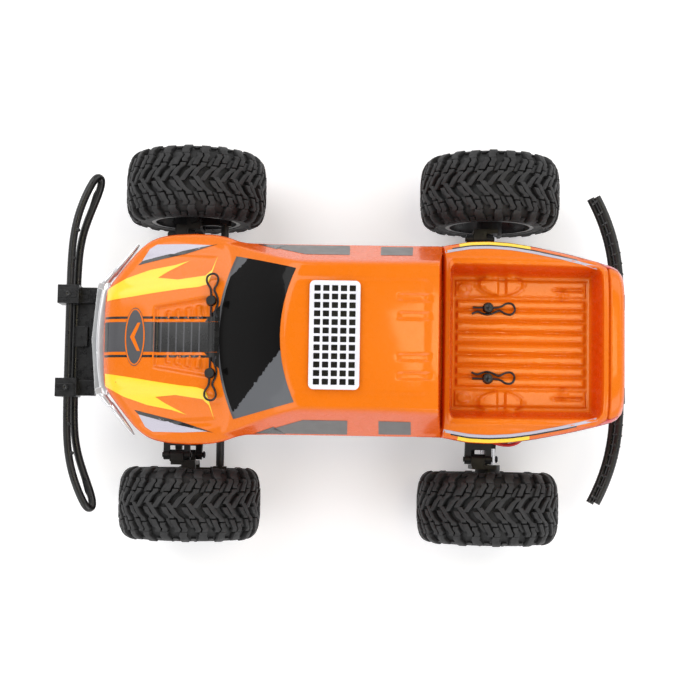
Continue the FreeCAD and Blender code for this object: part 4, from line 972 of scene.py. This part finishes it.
def tyre_mesh():
    """Tyre about the origin: rounded carcass, chevron bars pointing forward on top, and side lumps."""
    turns = np.linspace(0.0, 90.0, 15)
    outer = [profile_point(turn, 0.0) for turn in turns]
    half_profile = [(r, y) for y, r in outer]
    bead = [(26.6, 19.6), (25.9, 18.6), (26.6, 17.4), (27.0, 16.4)]
    profile = half_profile + bead
    profile = [(r, -y) for r, y in reversed(profile)] + profile[1:]
    carcass = lathe("carcass", profile, (0, 0, 0), "Y", 132, 40.0)
    points = []
    faces = []
    outer_turns = (33.0, 43.0, 52.0, 61.0, 70.0, 79.0)
    for index in range(LUGS):
        for side in (-1, 1):
            phase = -0.1635 * side
            for lane, cut in ((-2.15, 13.0), (2.15, 8.5)):
                head = -0.45 if lane * side < 0 else 0.25
                near = (head, cut * 0.4, cut * 0.7, cut)
                far = (cut + 1.6, 19.0, 26.0, 33.0)
                lug_strip(points, faces, index, side, lane, near, 1.8, 1.0, phase)
                lug_strip(points, faces, index, side, lane + 0.9, far, 1.7, 0.96, phase)
            lug_strip(points, faces, index, side, 6.07, (9.0, 16.0, 24.0), 1.35, 0.55, phase)
            if index % 2:
                lug_strip(points, faces, index, side, 0.0, outer_turns, 2.2, 1.0, phase)
            else:
                lug_strip(points, faces, index, side, 0.0, outer_turns[:5], 2.5, 0.92, phase)
            lug_strip(points, faces, index, side, 6.1, (58.0, 68.0, 78.0), 1.5, 0.55, phase)
    bars = mesh_from("bars", points, faces, 25.0)
    piece = bpy.data.objects.new("bars", bars)
    bpy.context.scene.collection.objects.link(piece)
    add_bevel(piece, 0.38, 2, 40.0)
    bake_modifiers(piece)
    rings = []
    for side in (-1, 1):
        ring = [(31.6, side * 20.2), (33.0, side * 20.9), (33.6, side * 20.2)]
        rings.append(lathe("side_ring", ring, (0, 0, 0), "Y", 132))
    mesh = merged("tyre", [carcass, piece.data] + rings, face_outwards=True)
    bpy.data.objects.remove(piece)
    shade(mesh, 38.0)
    return mesh


def placed(mesh, name, centre, mirror=False):
    """Copy of a mesh made about the origin, moved to a millimetre point."""
    copy = mesh.copy()
    copy.name = name
    if mirror:
        copy.transform(Matrix.Scale(-1, 4, (0, 1, 0)))
        copy.flip_normals()
    copy.transform(Matrix.Translation(Vector([value * MM for value in centre])))
    return copy


def rim_mesh():
    """Rim about the origin with its face towards +Y: barrel, bead ring, six split spokes and hub."""
    barrel = [(27.0, -20.0), (27.0, 20.0), (25.4, 20.2), (24.6, 19.0), (24.6, 16.0), (22.8, 13.0),
              (22.8, -14.0), (24.4, -17.0), (24.4, -20.0)]
    bead = [(27.4, 19.4), (27.2, 21.2), (25.0, 21.5), (23.2, 20.4), (23.0, 18.6), (24.8, 18.6)]
    hub = [(0.01, 4.0), (7.6, 4.0), (7.6, 9.0), (7.0, 10.4), (4.4, 10.8), (4.2, 9.4), (0.01, 9.4)]
    parts = []
    for name, profile, segments in (("barrel", barrel, 96), ("bead_ring", bead, 96), ("hub", hub, 48)):
        parts.append(lathe(name, profile, (0, 0, 0), "Y", segments))
    spokes = 6
    for index in range(spokes):
        for lean in (-1, 1):
            angle = 2 * math.pi * index / spokes
            outline = [(lean * 1.0, 5.0), (lean * 3.4, 5.0), (lean * 6.4, 23.4), (lean * 3.4, 23.6)]
            if lean < 0:
                outline = outline[::-1]
            spoke = extruded("spoke", outline, 5.6, 9.6, "XZ")
            bend = bmesh.new()
            bend.from_mesh(spoke)
            bmesh.ops.bevel(bend, geom=bend.edges[:], offset=0.6 * MM, segments=2, affect="EDGES")
            for vert in bend.verts:
                reach = math.hypot(vert.co.x, vert.co.z) / MM
                vert.co.y += 4.6 * MM * max(0.0, (reach - 8.0) / 16.0) ** 1.6
            bend.transform(Matrix.Rotation(angle, 4, "Y"))
            bend.to_mesh(spoke)
            bend.free()
            parts.append(spoke)
    bolts = 12
    for index in range(bolts):
        angle = 2 * math.pi * (index + 0.5) / bolts
        centre = (25.2 * math.cos(angle), 0, 25.2 * math.sin(angle))
        bolt = [(0.01, 20.6), (0.95, 20.6), (0.95, 21.5), (0.6, 21.75), (0.01, 21.75)]
        parts.append(lathe("bolt", bolt, centre, "Y", 12))
    return parts


def build_wheels():
    """The four detailed tyres and rims and a steel nut in each hub, on the wheel bodies."""
    tyre = tyre_mesh()
    rim_parts = rim_mesh()
    for corner, sign in corners():
        low, high = node_box("tyre_" + corner)
        centre = (low + high) / 2
        body = body_of("wheel_" + corner)
        rubber_piece = new_object("tyre_chevron_" + corner, placed(tyre, "tyre", centre), "tyre", body)
        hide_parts("tyre_" + corner)
        metal_piece = joined("rim_spoked_" + corner,
                             [placed(part, "rim", centre, sign < 0) for part in rim_parts],
                             "rim", body)
        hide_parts("rim_" + corner)
        hexagon = [(0.01, 0.0), (3.6, 0.0), (3.6, 3.4), (2.9, 4.0), (0.01, 4.0)]
        nut = lathe("nut", hexagon, (0, 0, 0), "Y", 6, 20.0)
        seat = (centre[0], centre[1] + sign * 9.6, centre[2])
        nut_piece = new_object("wheel_nut_" + corner, placed(nut, "nut", seat, sign < 0), "steel", body)
        add_bevel(nut_piece, 0.25, 2)


# ------------------------------------------------------------------ nose, roof and bumpers
def build_grille():
    """Stepped chrome trim round the nose with a slotted centre, dark behind."""
    low, high = node_box("front_grille")
    chrome = []
    centre_half = 32.4
    front_x = high[0]
    shares = np.linspace(-1, 1, 17)
    front = [(front_x - 0.6 - 2.8 * (1 - math.cos(share * 1.45)), centre_half * share) for share in shares]
    lower_lip = [(front_x - 11.0, -28.0)] + front + [(front_x - 11.0, 28.0)]
    chrome.append(extruded("bar", lower_lip, low[2] + 0.2, low[2] + 3.6))
    lip_z = high[2] - 2.1
    lip = []
    for share in np.linspace(-1, 1, 25):
        end = math.sqrt(max(0.0, 1.0 - abs(share) ** 24))
        lip.append((front_x - 7.0 - 3.4 * share ** 2, centre_half * share, lip_z, 0.9 + 1.8 * end,
                    0.8 + 1.3 * end))
    chrome.append(swept_bar("lip", lip))
    for level in range(3):
        z = low[2] + 6.4 + 5.2 * level
        slat = [(front_x - 8.0, -29.0), (front_x - 3.2, -30.0), (front_x - 0.6, 0.0), (front_x - 3.2, 30.0),
                (front_x - 8.0, 29.0)]
        chrome.append(extruded("slat", slat, z, z + 2.4))
    wings = [
        [(138.2, 29.8, 1.0), (137.4, 30.8, 1.7), (134.4, 34.6, 1.8), (131.6, 38.1, 1.6), (130.8, 39.1, 0.7)],
        [(132.4, 36.2, 0.8), (131.6, 37.2, 1.5), (125.4, 45.0, 1.4), (119.6, 52.4, 0.9), (117.6, 55.0, 0.3)],
    ]
    for sign in SIDES.values():
        for drop, line in enumerate(wings):
            z = high[2] - 4.2 - 0.8 * drop
            chrome.append(swept_bar("wing", [(x, sign * y, z, wide, 1.6 + wide) for x, y, wide in line]))
        post = [(front_x - 8.4, 27.6), (front_x - 4.4, 29.0), (front_x - 5.2, 32.2), (front_x - 8.4, 31.4)]
        post = [(x, sign * y) for x, y in post]
        if sign < 0:
            post = post[::-1]
        chrome.append(extruded("upright", post, low[2], high[2]))
    trim = joined("grille_chrome", chrome, "chrome")
    add_bevel(trim, 0.6, 3, 50.0)
    backing = [(front_x - 9.0, -30.0), (front_x - 6.6, -29.0), (front_x - 4.6, 0.0), (front_x - 6.6, 29.0),
               (front_x - 9.0, 30.0)]
    dark = new_object("grille_backing", extruded("backing", backing, low[2] + 1.0, high[2] - 2.4),
                      "black_print")
    add_bevel(dark, 0.5, 2)
    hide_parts("front_grille")


def build_vent():
    """Rounded silver frame and grid on the roof over a dark tray."""
    low, high = node_box("roof_vent")
    columns, rows = 5, 12
    border, bar = 2.5, 1.35
    corner = 2.8
    top = high[2]
    bottom = low[2] + 0.1
    outline = []
    for cx, cy, start in ((high[0] - corner, high[1] - corner, 0), (low[0] + corner, high[1] - corner, 90),
                          (low[0] + corner, low[1] + corner, 180), (high[0] - corner, low[1] + corner, 270)):
        outline += arc_points((cx, cy), (corner, corner), start, start + 90, 7)
    plate = new_object("vent_grid", extruded("vent", outline, bottom, top), "silver")
    start_x, end_x = low[0] + border, high[0] - border
    start_y, end_y = low[1] + border, high[1] - border
    step_x = (end_x - start_x + bar) / columns
    step_y = (end_y - start_y + bar) / rows
    holes = []
    for column in range(columns):
        for row in range(rows):
            x = start_x + column * step_x
            y = start_y + row * step_y
            holes.append(box_mesh("hole", (x, y, bottom - 1.0),
                                  (x + step_x - bar, y + step_y - bar, top + 1.0)))
    cut_with(plate, merged("vent_tool", holes))
    add_bevel(plate, 0.28, 2)
    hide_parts("roof_vent")
    tray = box_mesh("tray", (low[0] + 1.4, low[1] + 1.4, bottom - 0.5),
                    (high[0] - 1.4, high[1] - 1.4, bottom + 0.15))
    add_bevel(new_object("vent_tray", tray, "black_print"), 0.2, 2)


BUMPER_Z = 63.0
BUMPER_PITCH = 6.4
TUBE_R = 2.3


def both_sides(points):
    """A route from right to left through the given left-hand points."""
    return [(x, -y, z) for x, y, z in reversed(points)] + list(points)


def build_front_bumper():
    """One bar looped into a hairpin at each end, square clamps, and the bracket behind."""
    high_z = BUMPER_Z + BUMPER_PITCH / 2
    low_z = BUMPER_Z - BUMPER_PITCH / 2
    upper = [(160.6, 20.0, high_z), (160.6, 42.0, high_z), (160.0, 60.0, high_z), (157.4, 75.0, high_z),
             (153.0, 87.0, high_z),
             (149.4, 94.6, high_z - 0.4), (146.9, 98.6, BUMPER_Z + 1.4)]
    lower = [(157.6, 20.0, low_z), (157.6, 42.0, low_z), (156.6, 58.0, low_z), (153.6, 70.0, low_z),
             (149.8, 80.0, low_z + 0.4),
             (146.6, 88.0, low_z + 1.0), (144.7, 94.0, low_z + 1.8), (144.6, 97.8, BUMPER_Z - 1.0)]
    loop = both_sides(upper) + both_sides(lower)[::-1]
    top = wire("front_bar_loop", loop, TUBE_R, "bumper", closed=True, order=4)
    parts = []
    for sign in SIDES.values():
        y = sign * 27.5
        parts.append(box_mesh("clamp", (154.6, y - 5.5, BUMPER_Z - 7.4), (167.2, y + 5.5, BUMPER_Z + 7.4)))
        parts.append(box_mesh("rib", (156.0, y - 2.2, BUMPER_Z - 8.2), (166.0, y + 2.2, BUMPER_Z + 8.0)))
        parts.append(box_mesh("strut", (145.0, y - 4.6, BUMPER_Z - 5.0), (156.0, y + 4.6, BUMPER_Z + 1.0)))
        parts.append(lathe("screw", [(0.01, 8.0), (1.7, 8.0), (1.7, 8.5), (1.2, 8.8), (0.01, 8.5)],
                           (160.8, y, BUMPER_Z), "Z", 20))
        flange = [(151.6, 76.0, low_z + 0.4, 1.4, 1.3), (150.6, 78.0, low_z + 0.4, 1.9, 1.7),
                  (147.4, 88.0, low_z + 1.0, 2.1, 1.8), (146.4, 91.0, low_z + 1.4, 1.5, 1.3)]
        parts.append(swept_bar("flange", [(x, sign * y, z, wide, tall) for x, y, z, wide, tall in flange]))
        for knob_y in (49.0, 66.0):
            parts.append(lathe("boss", [(0.01, 0.0), (1.1, 0.0), (1.1, 2.6), (0.7, 2.9), (0.01, 2.9)],
                               (158.8 - 0.12 * (knob_y - 49.0), sign * knob_y, high_z - 0.6), "Z", 16))
    parts.append(box_mesh("beam", (132.0, -28.0, BUMPER_Z - 5.0), (150.0, 28.0, BUMPER_Z - 1.2)))
    parts.append(box_mesh("plate", (144.0, -29.0, BUMPER_Z - 4.4), (158.4, 29.0, BUMPER_Z - 1.8)))
    parts.append(box_mesh("latch", (150.0, -9.0, BUMPER_Z - 3.8), (157.6, 3.0, BUMPER_Z + 0.8)))
    parts.append(box_mesh("foot", (132.0, -14.0, 44.0), (136.0, 14.0, BUMPER_Z - 1.0)))
    for index in range(6):
        y = -25.0 + 10.0 * index
        parts.append(box_mesh("web", (138.0, y - 0.7, BUMPER_Z - 7.4), (149.0, y + 0.7, BUMPER_Z - 4.6)))
    mount = joined("front_bumper_mount", parts, "bumper")
    add_bevel(mount, 0.8, 3)
    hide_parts("front_bumper")


def build_rear_bumper():
    """Two ribbed bars with square-cut ends and their bracket."""
    for way in (-1, 1):
        z = BUMPER_Z + way * BUMPER_PITCH / 2
        back = 0.0 if way > 0 else 2.6
        route = [(back - 164.8, 20.0, z), (back - 164.8, 40.0, z), (back - 162.9, 58.0, z),
                 (back - 158.6, 74.0, z),
                 (back - 153.8, 85.0, z), (back - 150.8, 90.6, z)]
        wire("rear_bar_" + ("upper" if way > 0 else "lower"), both_sides(route), TUBE_R, "bumper",
                         order=4)
    parts = []
    for sign in SIDES.values():
        y = sign * 27.5
        parts.append(box_mesh("clamp", (-167.2, y - 5.0, BUMPER_Z - 6.4), (-158.0, y + 5.0, BUMPER_Z + 6.4)))
        parts.append(box_mesh("strut", (-159.0, y - 3.6, BUMPER_Z - 5.0), (-142.0, y + 3.6, BUMPER_Z - 1.5)))
        for index in range(9):
            share = index / 8
            y_rib = 38.0 + 50.0 * share
            x_rib = -164.9 + 13.6 * share ** 2.1
            lean = math.radians(8.0 + 46.0 * share)
            rib = box_mesh("rib", (-2.4, -0.7, -5.6), (2.6, 0.7, 5.4))
            rib.transform(Matrix.Rotation(-sign * lean * 0.8, 4, "Z"))
            rib.transform(Matrix.Translation(Vector((x_rib + 0.6, sign * y_rib, BUMPER_Z)) * MM))
            parts.append(rib)
    parts.append(box_mesh("beam", (-148.0, -28.0, BUMPER_Z - 5.0), (-128.0, 28.0, BUMPER_Z - 1.5)))
    parts.append(box_mesh("foot", (-132.0, -14.0, 44.0), (-128.0, 14.0, BUMPER_Z - 1.0)))
    mount = joined("rear_bumper_mount", parts, "bumper")
    add_bevel(mount, 0.6, 2)
    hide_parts("rear_bumper")


# ------------------------------------------------------------------ clips and posts
CLIP_SHAPE = [(-9.2, 3.6), (-6.4, 1.9), (-3.8, 3.2), (-0.4, 4.1), (3.2, 3.0), (6.4, 1.2), (9.4, 3.4),
              (13.4, 4.0), (15.6, 1.2),
              (14.0, -2.6), (10.2, -2.8), (7.2, -0.4), (3.0, 0.0), (-3.0, 0.0), (-8.8, 0.0)]


def build_clips():
    """Round post heads, and bent wire clips through them."""
    for index, (x, y) in enumerate(post_places()):
        front = x > 0
        sign = 1.0 if y > 0 else -1.0
        surface = 111.2 if front else BED_FLOOR
        z = surface + 2.2
        points = []
        for along_wire, across in CLIP_SHAPE:
            if front:
                points.append((x - across, y + sign * along_wire, z + 0.05 * across))
            else:
                points.append((x - along_wire, y - sign * across, z + 0.05 * across))
        place_name = ("front" if front else "rear") + ("_left" if sign > 0 else "_right")
        piece = wire("clip_" + place_name, points, 0.6, "dark_steel")
        if index == 0:
            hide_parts("body_clips")
        head = lathe("post_head", [
            (0.01, -4.0), (2.5, -4.0), (2.5, 1.4), (2.75, 1.8), (2.7, 3.0), (2.2, 3.8), (1.1, 4.3),
            (0.01, 4.4)],
            (x, y, z - 1.0), "Z", 32)
        new_object("post_head_" + place_name, head, "knob")


# ------------------------------------------------------------------ suspension details
def build_springs():
    """Coil springs between the shock body and its rod."""
    turns = 6.5
    coil_r = 5.75
    wire_r = 0.62
    for corner, _ in corners():
        swing = joint("shock_swing_" + corner)
        stroke = joint("shock_stroke_" + corner)
        top = Vector(swing["pos_m"])
        axis = Vector(stroke["axis"]).normalized()
        start = top + axis * 13.0 * MM
        finish = top + axis * 43.6 * MM
        across = Vector((1, 0, 0))
        other = axis.cross(across)
        points = []
        steps = int(turns * 28)
        ring = 8
        for index in range(steps + 1):
            share = index / steps
            closed = max(0.0, 1 - share * turns, 1 - (1 - share) * turns)
            climb = share + (0.018 * closed if share > 0.5 else -0.018 * closed)
            climb = min(max(climb, 0.0), 1.0)
            angle = 2 * math.pi * turns * share
            out = across * math.cos(angle) + other * math.sin(angle)
            centre = start + (finish - start) * climb + out * coil_r * MM
            for corner_index in range(ring):
                around = 2 * math.pi * corner_index / ring
                offset = (out * math.cos(around) + axis * math.sin(around)) * wire_r * MM
                points.append((centre + offset) / MM)
        faces = grid_faces(steps + 1, ring, True)
        faces.append(tuple(range(ring))[::-1])
        faces.append(tuple(steps * ring + index for index in range(ring)))
        mesh = mesh_from("spring_coil_" + corner, points, faces, 60.0)
        piece = new_object("spring_coil_" + corner, mesh, "spring", body=None)
        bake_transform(piece)
        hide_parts("spring_" + corner)


def screw_head(radius, height):
    """Pan head with a cross recess, standing on z = 0."""
    mesh = lathe("screw", [(0.01, 0.0), (radius, 0.0), (radius, height * 0.45), (radius * 0.8, height * 0.85),
                           (radius * 0.45, height), (radius * 0.2, height * 0.5), (0.01, height * 0.45)],
                 (0, 0, 0), "Z", 20)
    return mesh


def build_motor_leads():
    """Red and black leads from the motor, round behind the gearbox to the electronics box."""
    route = [(-104.0, 15.0, 64.0), (-112.0, 20.0, 71.0), (-114.0, 34.0, 76.0), (-110.5, 49.0, 77.0),
             (-103.0, 58.0, 76.0),
             (-91.0, 57.5, 75.0), (-77.0, 50.0, 75.0), (-64.0, 42.0, 72.0), (-53.0, 33.0, 65.0),
             (-45.0, 26.0, 56.0),
             (-40.0, 19.0, 49.2)]
    red = wire("motor_lead_red", route, 1.0, "wire", order=4)
    shifted = [(x + 3.0, y - 3.0, z - 0.5) for x, y, z in route]
    wire("motor_lead_black", shifted, 1.0, "wire_black", order=4)
    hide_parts("motor_wires")


def build_fasteners():
    """Screw heads on the hinge pins and the chassis floor."""
    head = screw_head(2.2, 1.4)
    for corner, _ in corners():
        arm = joint("suspension_" + corner)
        hub = joint("hub_" + corner)
        pins = (("inner", arm["pos_m"], arm["parent"], 14.2), ("outer", hub["pos_m"], hub["child"], 8.7))
        for way in (-1, 1):
            for name, place, body, reach in pins:
                mesh = head.copy()
                mesh.transform(Matrix.Rotation(way * math.pi / 2, 4, "Y"))
                mesh.transform(Matrix.Translation(Vector(place) + Vector((way * reach * MM, 0, 0))))
                side_word = "front" if way > 0 else "back"
                new_object("pin_head_" + name + "_" + corner + "_" + side_word, mesh, "dark_steel", body)
    floor = node_box("chassis_tub")[0][2]
    parts = []
    for x in (-106.0, -70.0, -44.0, 44.0, 76.0, 108.0):
        for y in (-11.0, 11.0):
            mesh = head.copy()
            mesh.transform(Matrix.Rotation(math.pi, 4, "X"))
            mesh.transform(Matrix.Translation(Vector((x, y, floor)) * MM))
            parts.append(mesh)
    joined("chassis_screws", parts, "dark_steel")


def dress_cad():
    """Materials and softened edges for the CAD nodes that stay in view."""
    groups = {
        "black": ("lower_arm", "upper_arm", "c_hub", "steering_knuckle", "hub_carrier", "tie_rod",
                  "shock_body",
                  "steering_servo", "servo_horn", "steering_link", "shock_towers", "body_posts",
                  "electronics_box"),
        "steel": ("shock_rod", "rear_axle", "drive_shaft", "motor"),
        "chassis": ("chassis_tub", "front_bulkhead", "gearbox_housing"),
        "brass": ("motor_pinion",),
        "gear": ("drive_gear",),
        "battery": ("battery_pack",),
    }
    looks = {part: look for look, parts in groups.items() for part in parts}
    for name, node in frame["nodes"].items():
        look = next((looks[key] for key in looks if name == key or name.startswith(key + "_")), None)
        look = looks.get(name, look)
        if look is None:
            continue
        node.data.materials.clear()
        node.data.materials.append(MATERIALS[look])
        if look != "battery":
            add_bevel(node, 0.35, 2, 30.0)


# ------------------------------------------------------------------ staging
def build_stage():
    """Pale floor, soft lights and the camera looking almost straight down."""
    shader = Shader("studio_floor")
    shader.colour(shader.ramp(shader.noise(3.0),
                              [(0.3, (0.86, 0.86, 0.87, 1.0)), (0.7, (0.9, 0.9, 0.91, 1.0))]))
    shader.set(Roughness=0.9, Emission_Color=(1.0, 1.0, 1.0, 1.0), Emission_Strength=0.3)
    half = 3.0
    floor_mesh = bpy.data.meshes.new("floor")
    floor_mesh.from_pydata([(-half, -half, 0), (half, -half, 0), (half, half, 0), (-half, half, 0)], [],
                           [(0, 1, 2, 3)])
    floor = bpy.data.objects.new("floor", floor_mesh)
    floor_mesh.materials.append(shader.material)
    bpy.context.scene.collection.objects.link(floor)
    world = bpy.data.worlds.new("studio_world")
    world.use_nodes = True
    tree = world.node_tree
    background = tree.nodes["Background"]
    direction = tree.nodes.new("ShaderNodeTexCoord")
    split = tree.nodes.new("ShaderNodeSeparateXYZ")
    tree.links.new(direction.outputs["Generated"], split.inputs["Vector"])
    ramp = tree.nodes.new("ShaderNodeValToRGB")
    ramp.color_ramp.elements[0].position = 0.3
    ramp.color_ramp.elements[0].color = (1.0, 1.0, 1.0, 1.0)
    ramp.color_ramp.elements[1].position = 0.93
    ramp.color_ramp.elements[1].color = (0.12, 0.12, 0.12, 1.0)
    tree.links.new(split.outputs["Z"], ramp.inputs["Fac"])
    tree.links.new(ramp.outputs["Color"], background.inputs["Color"])
    background.inputs["Strength"].default_value = 0.8
    bpy.context.scene.world = world
    white = (1.0, 1.0, 1.0)
    for name, place, size, power, tint in (
            ("key_light", (0.8, -0.9, 1.3), 1.3, 15.0, white),
            ("fill_light", (-0.9, 0.9, 1.3), 1.3, 13.0, white),
            ("rear_light", (-1.0, -0.8, 1.2), 1.2, 8.0, white),
            ("nose_light", (1.0, 0.8, 1.2), 1.2, 8.0, white),
            ("bed_sheen", (-0.285, -0.1, 1.3), 0.22, 1.0, (1.0, 0.86, 0.5))):
        lamp = bpy.data.lights.new(name, "AREA")
        lamp.energy = power
        lamp.color = tint
        lamp.size = size
        item = bpy.data.objects.new(name, lamp)
        item.location = place
        item.rotation_euler = Vector(place).to_track_quat("Z", "Y").to_euler()
        bpy.context.scene.collection.objects.link(item)
    camera_data = bpy.data.cameras.new("camera")
    camera_data.lens = 71.8
    camera_data.sensor_width = 36.0
    camera_data.clip_start = 0.01
    camera_data.shift_x = 5 / 700
    camera_data.shift_y = -2 / 700
    camera = bpy.data.objects.new("camera", camera_data)
    yaw = math.radians(0.9)
    lean = math.radians(4.1)
    aim = Vector((-0.0025, 0.0, 0.0425))
    distance = 0.8475
    away = Vector((0.0, math.sin(lean), math.cos(lean)))
    right = Vector((-math.cos(yaw), -math.sin(yaw), 0.0))
    up = away.cross(right).normalized()
    right = up.cross(away).normalized()
    turn = Matrix((right, up, away)).transposed()
    camera.matrix_world = Matrix.Translation(aim + away * distance) @ turn.to_4x4()
    bpy.context.scene.collection.objects.link(camera)
    bpy.context.scene.camera = camera
    bpy.context.scene.view_settings.view_transform = "Standard"


# ------------------------------------------------------------------ build
build_stage()
shell = build_shell()
build_graphics(Surface(shell))
build_tailgate()
build_wheels()
build_grille()
build_vent()
build_front_bumper()
build_rear_bumper()
build_clips()
build_springs()
build_motor_leads()
build_fasteners()
dress_cad()
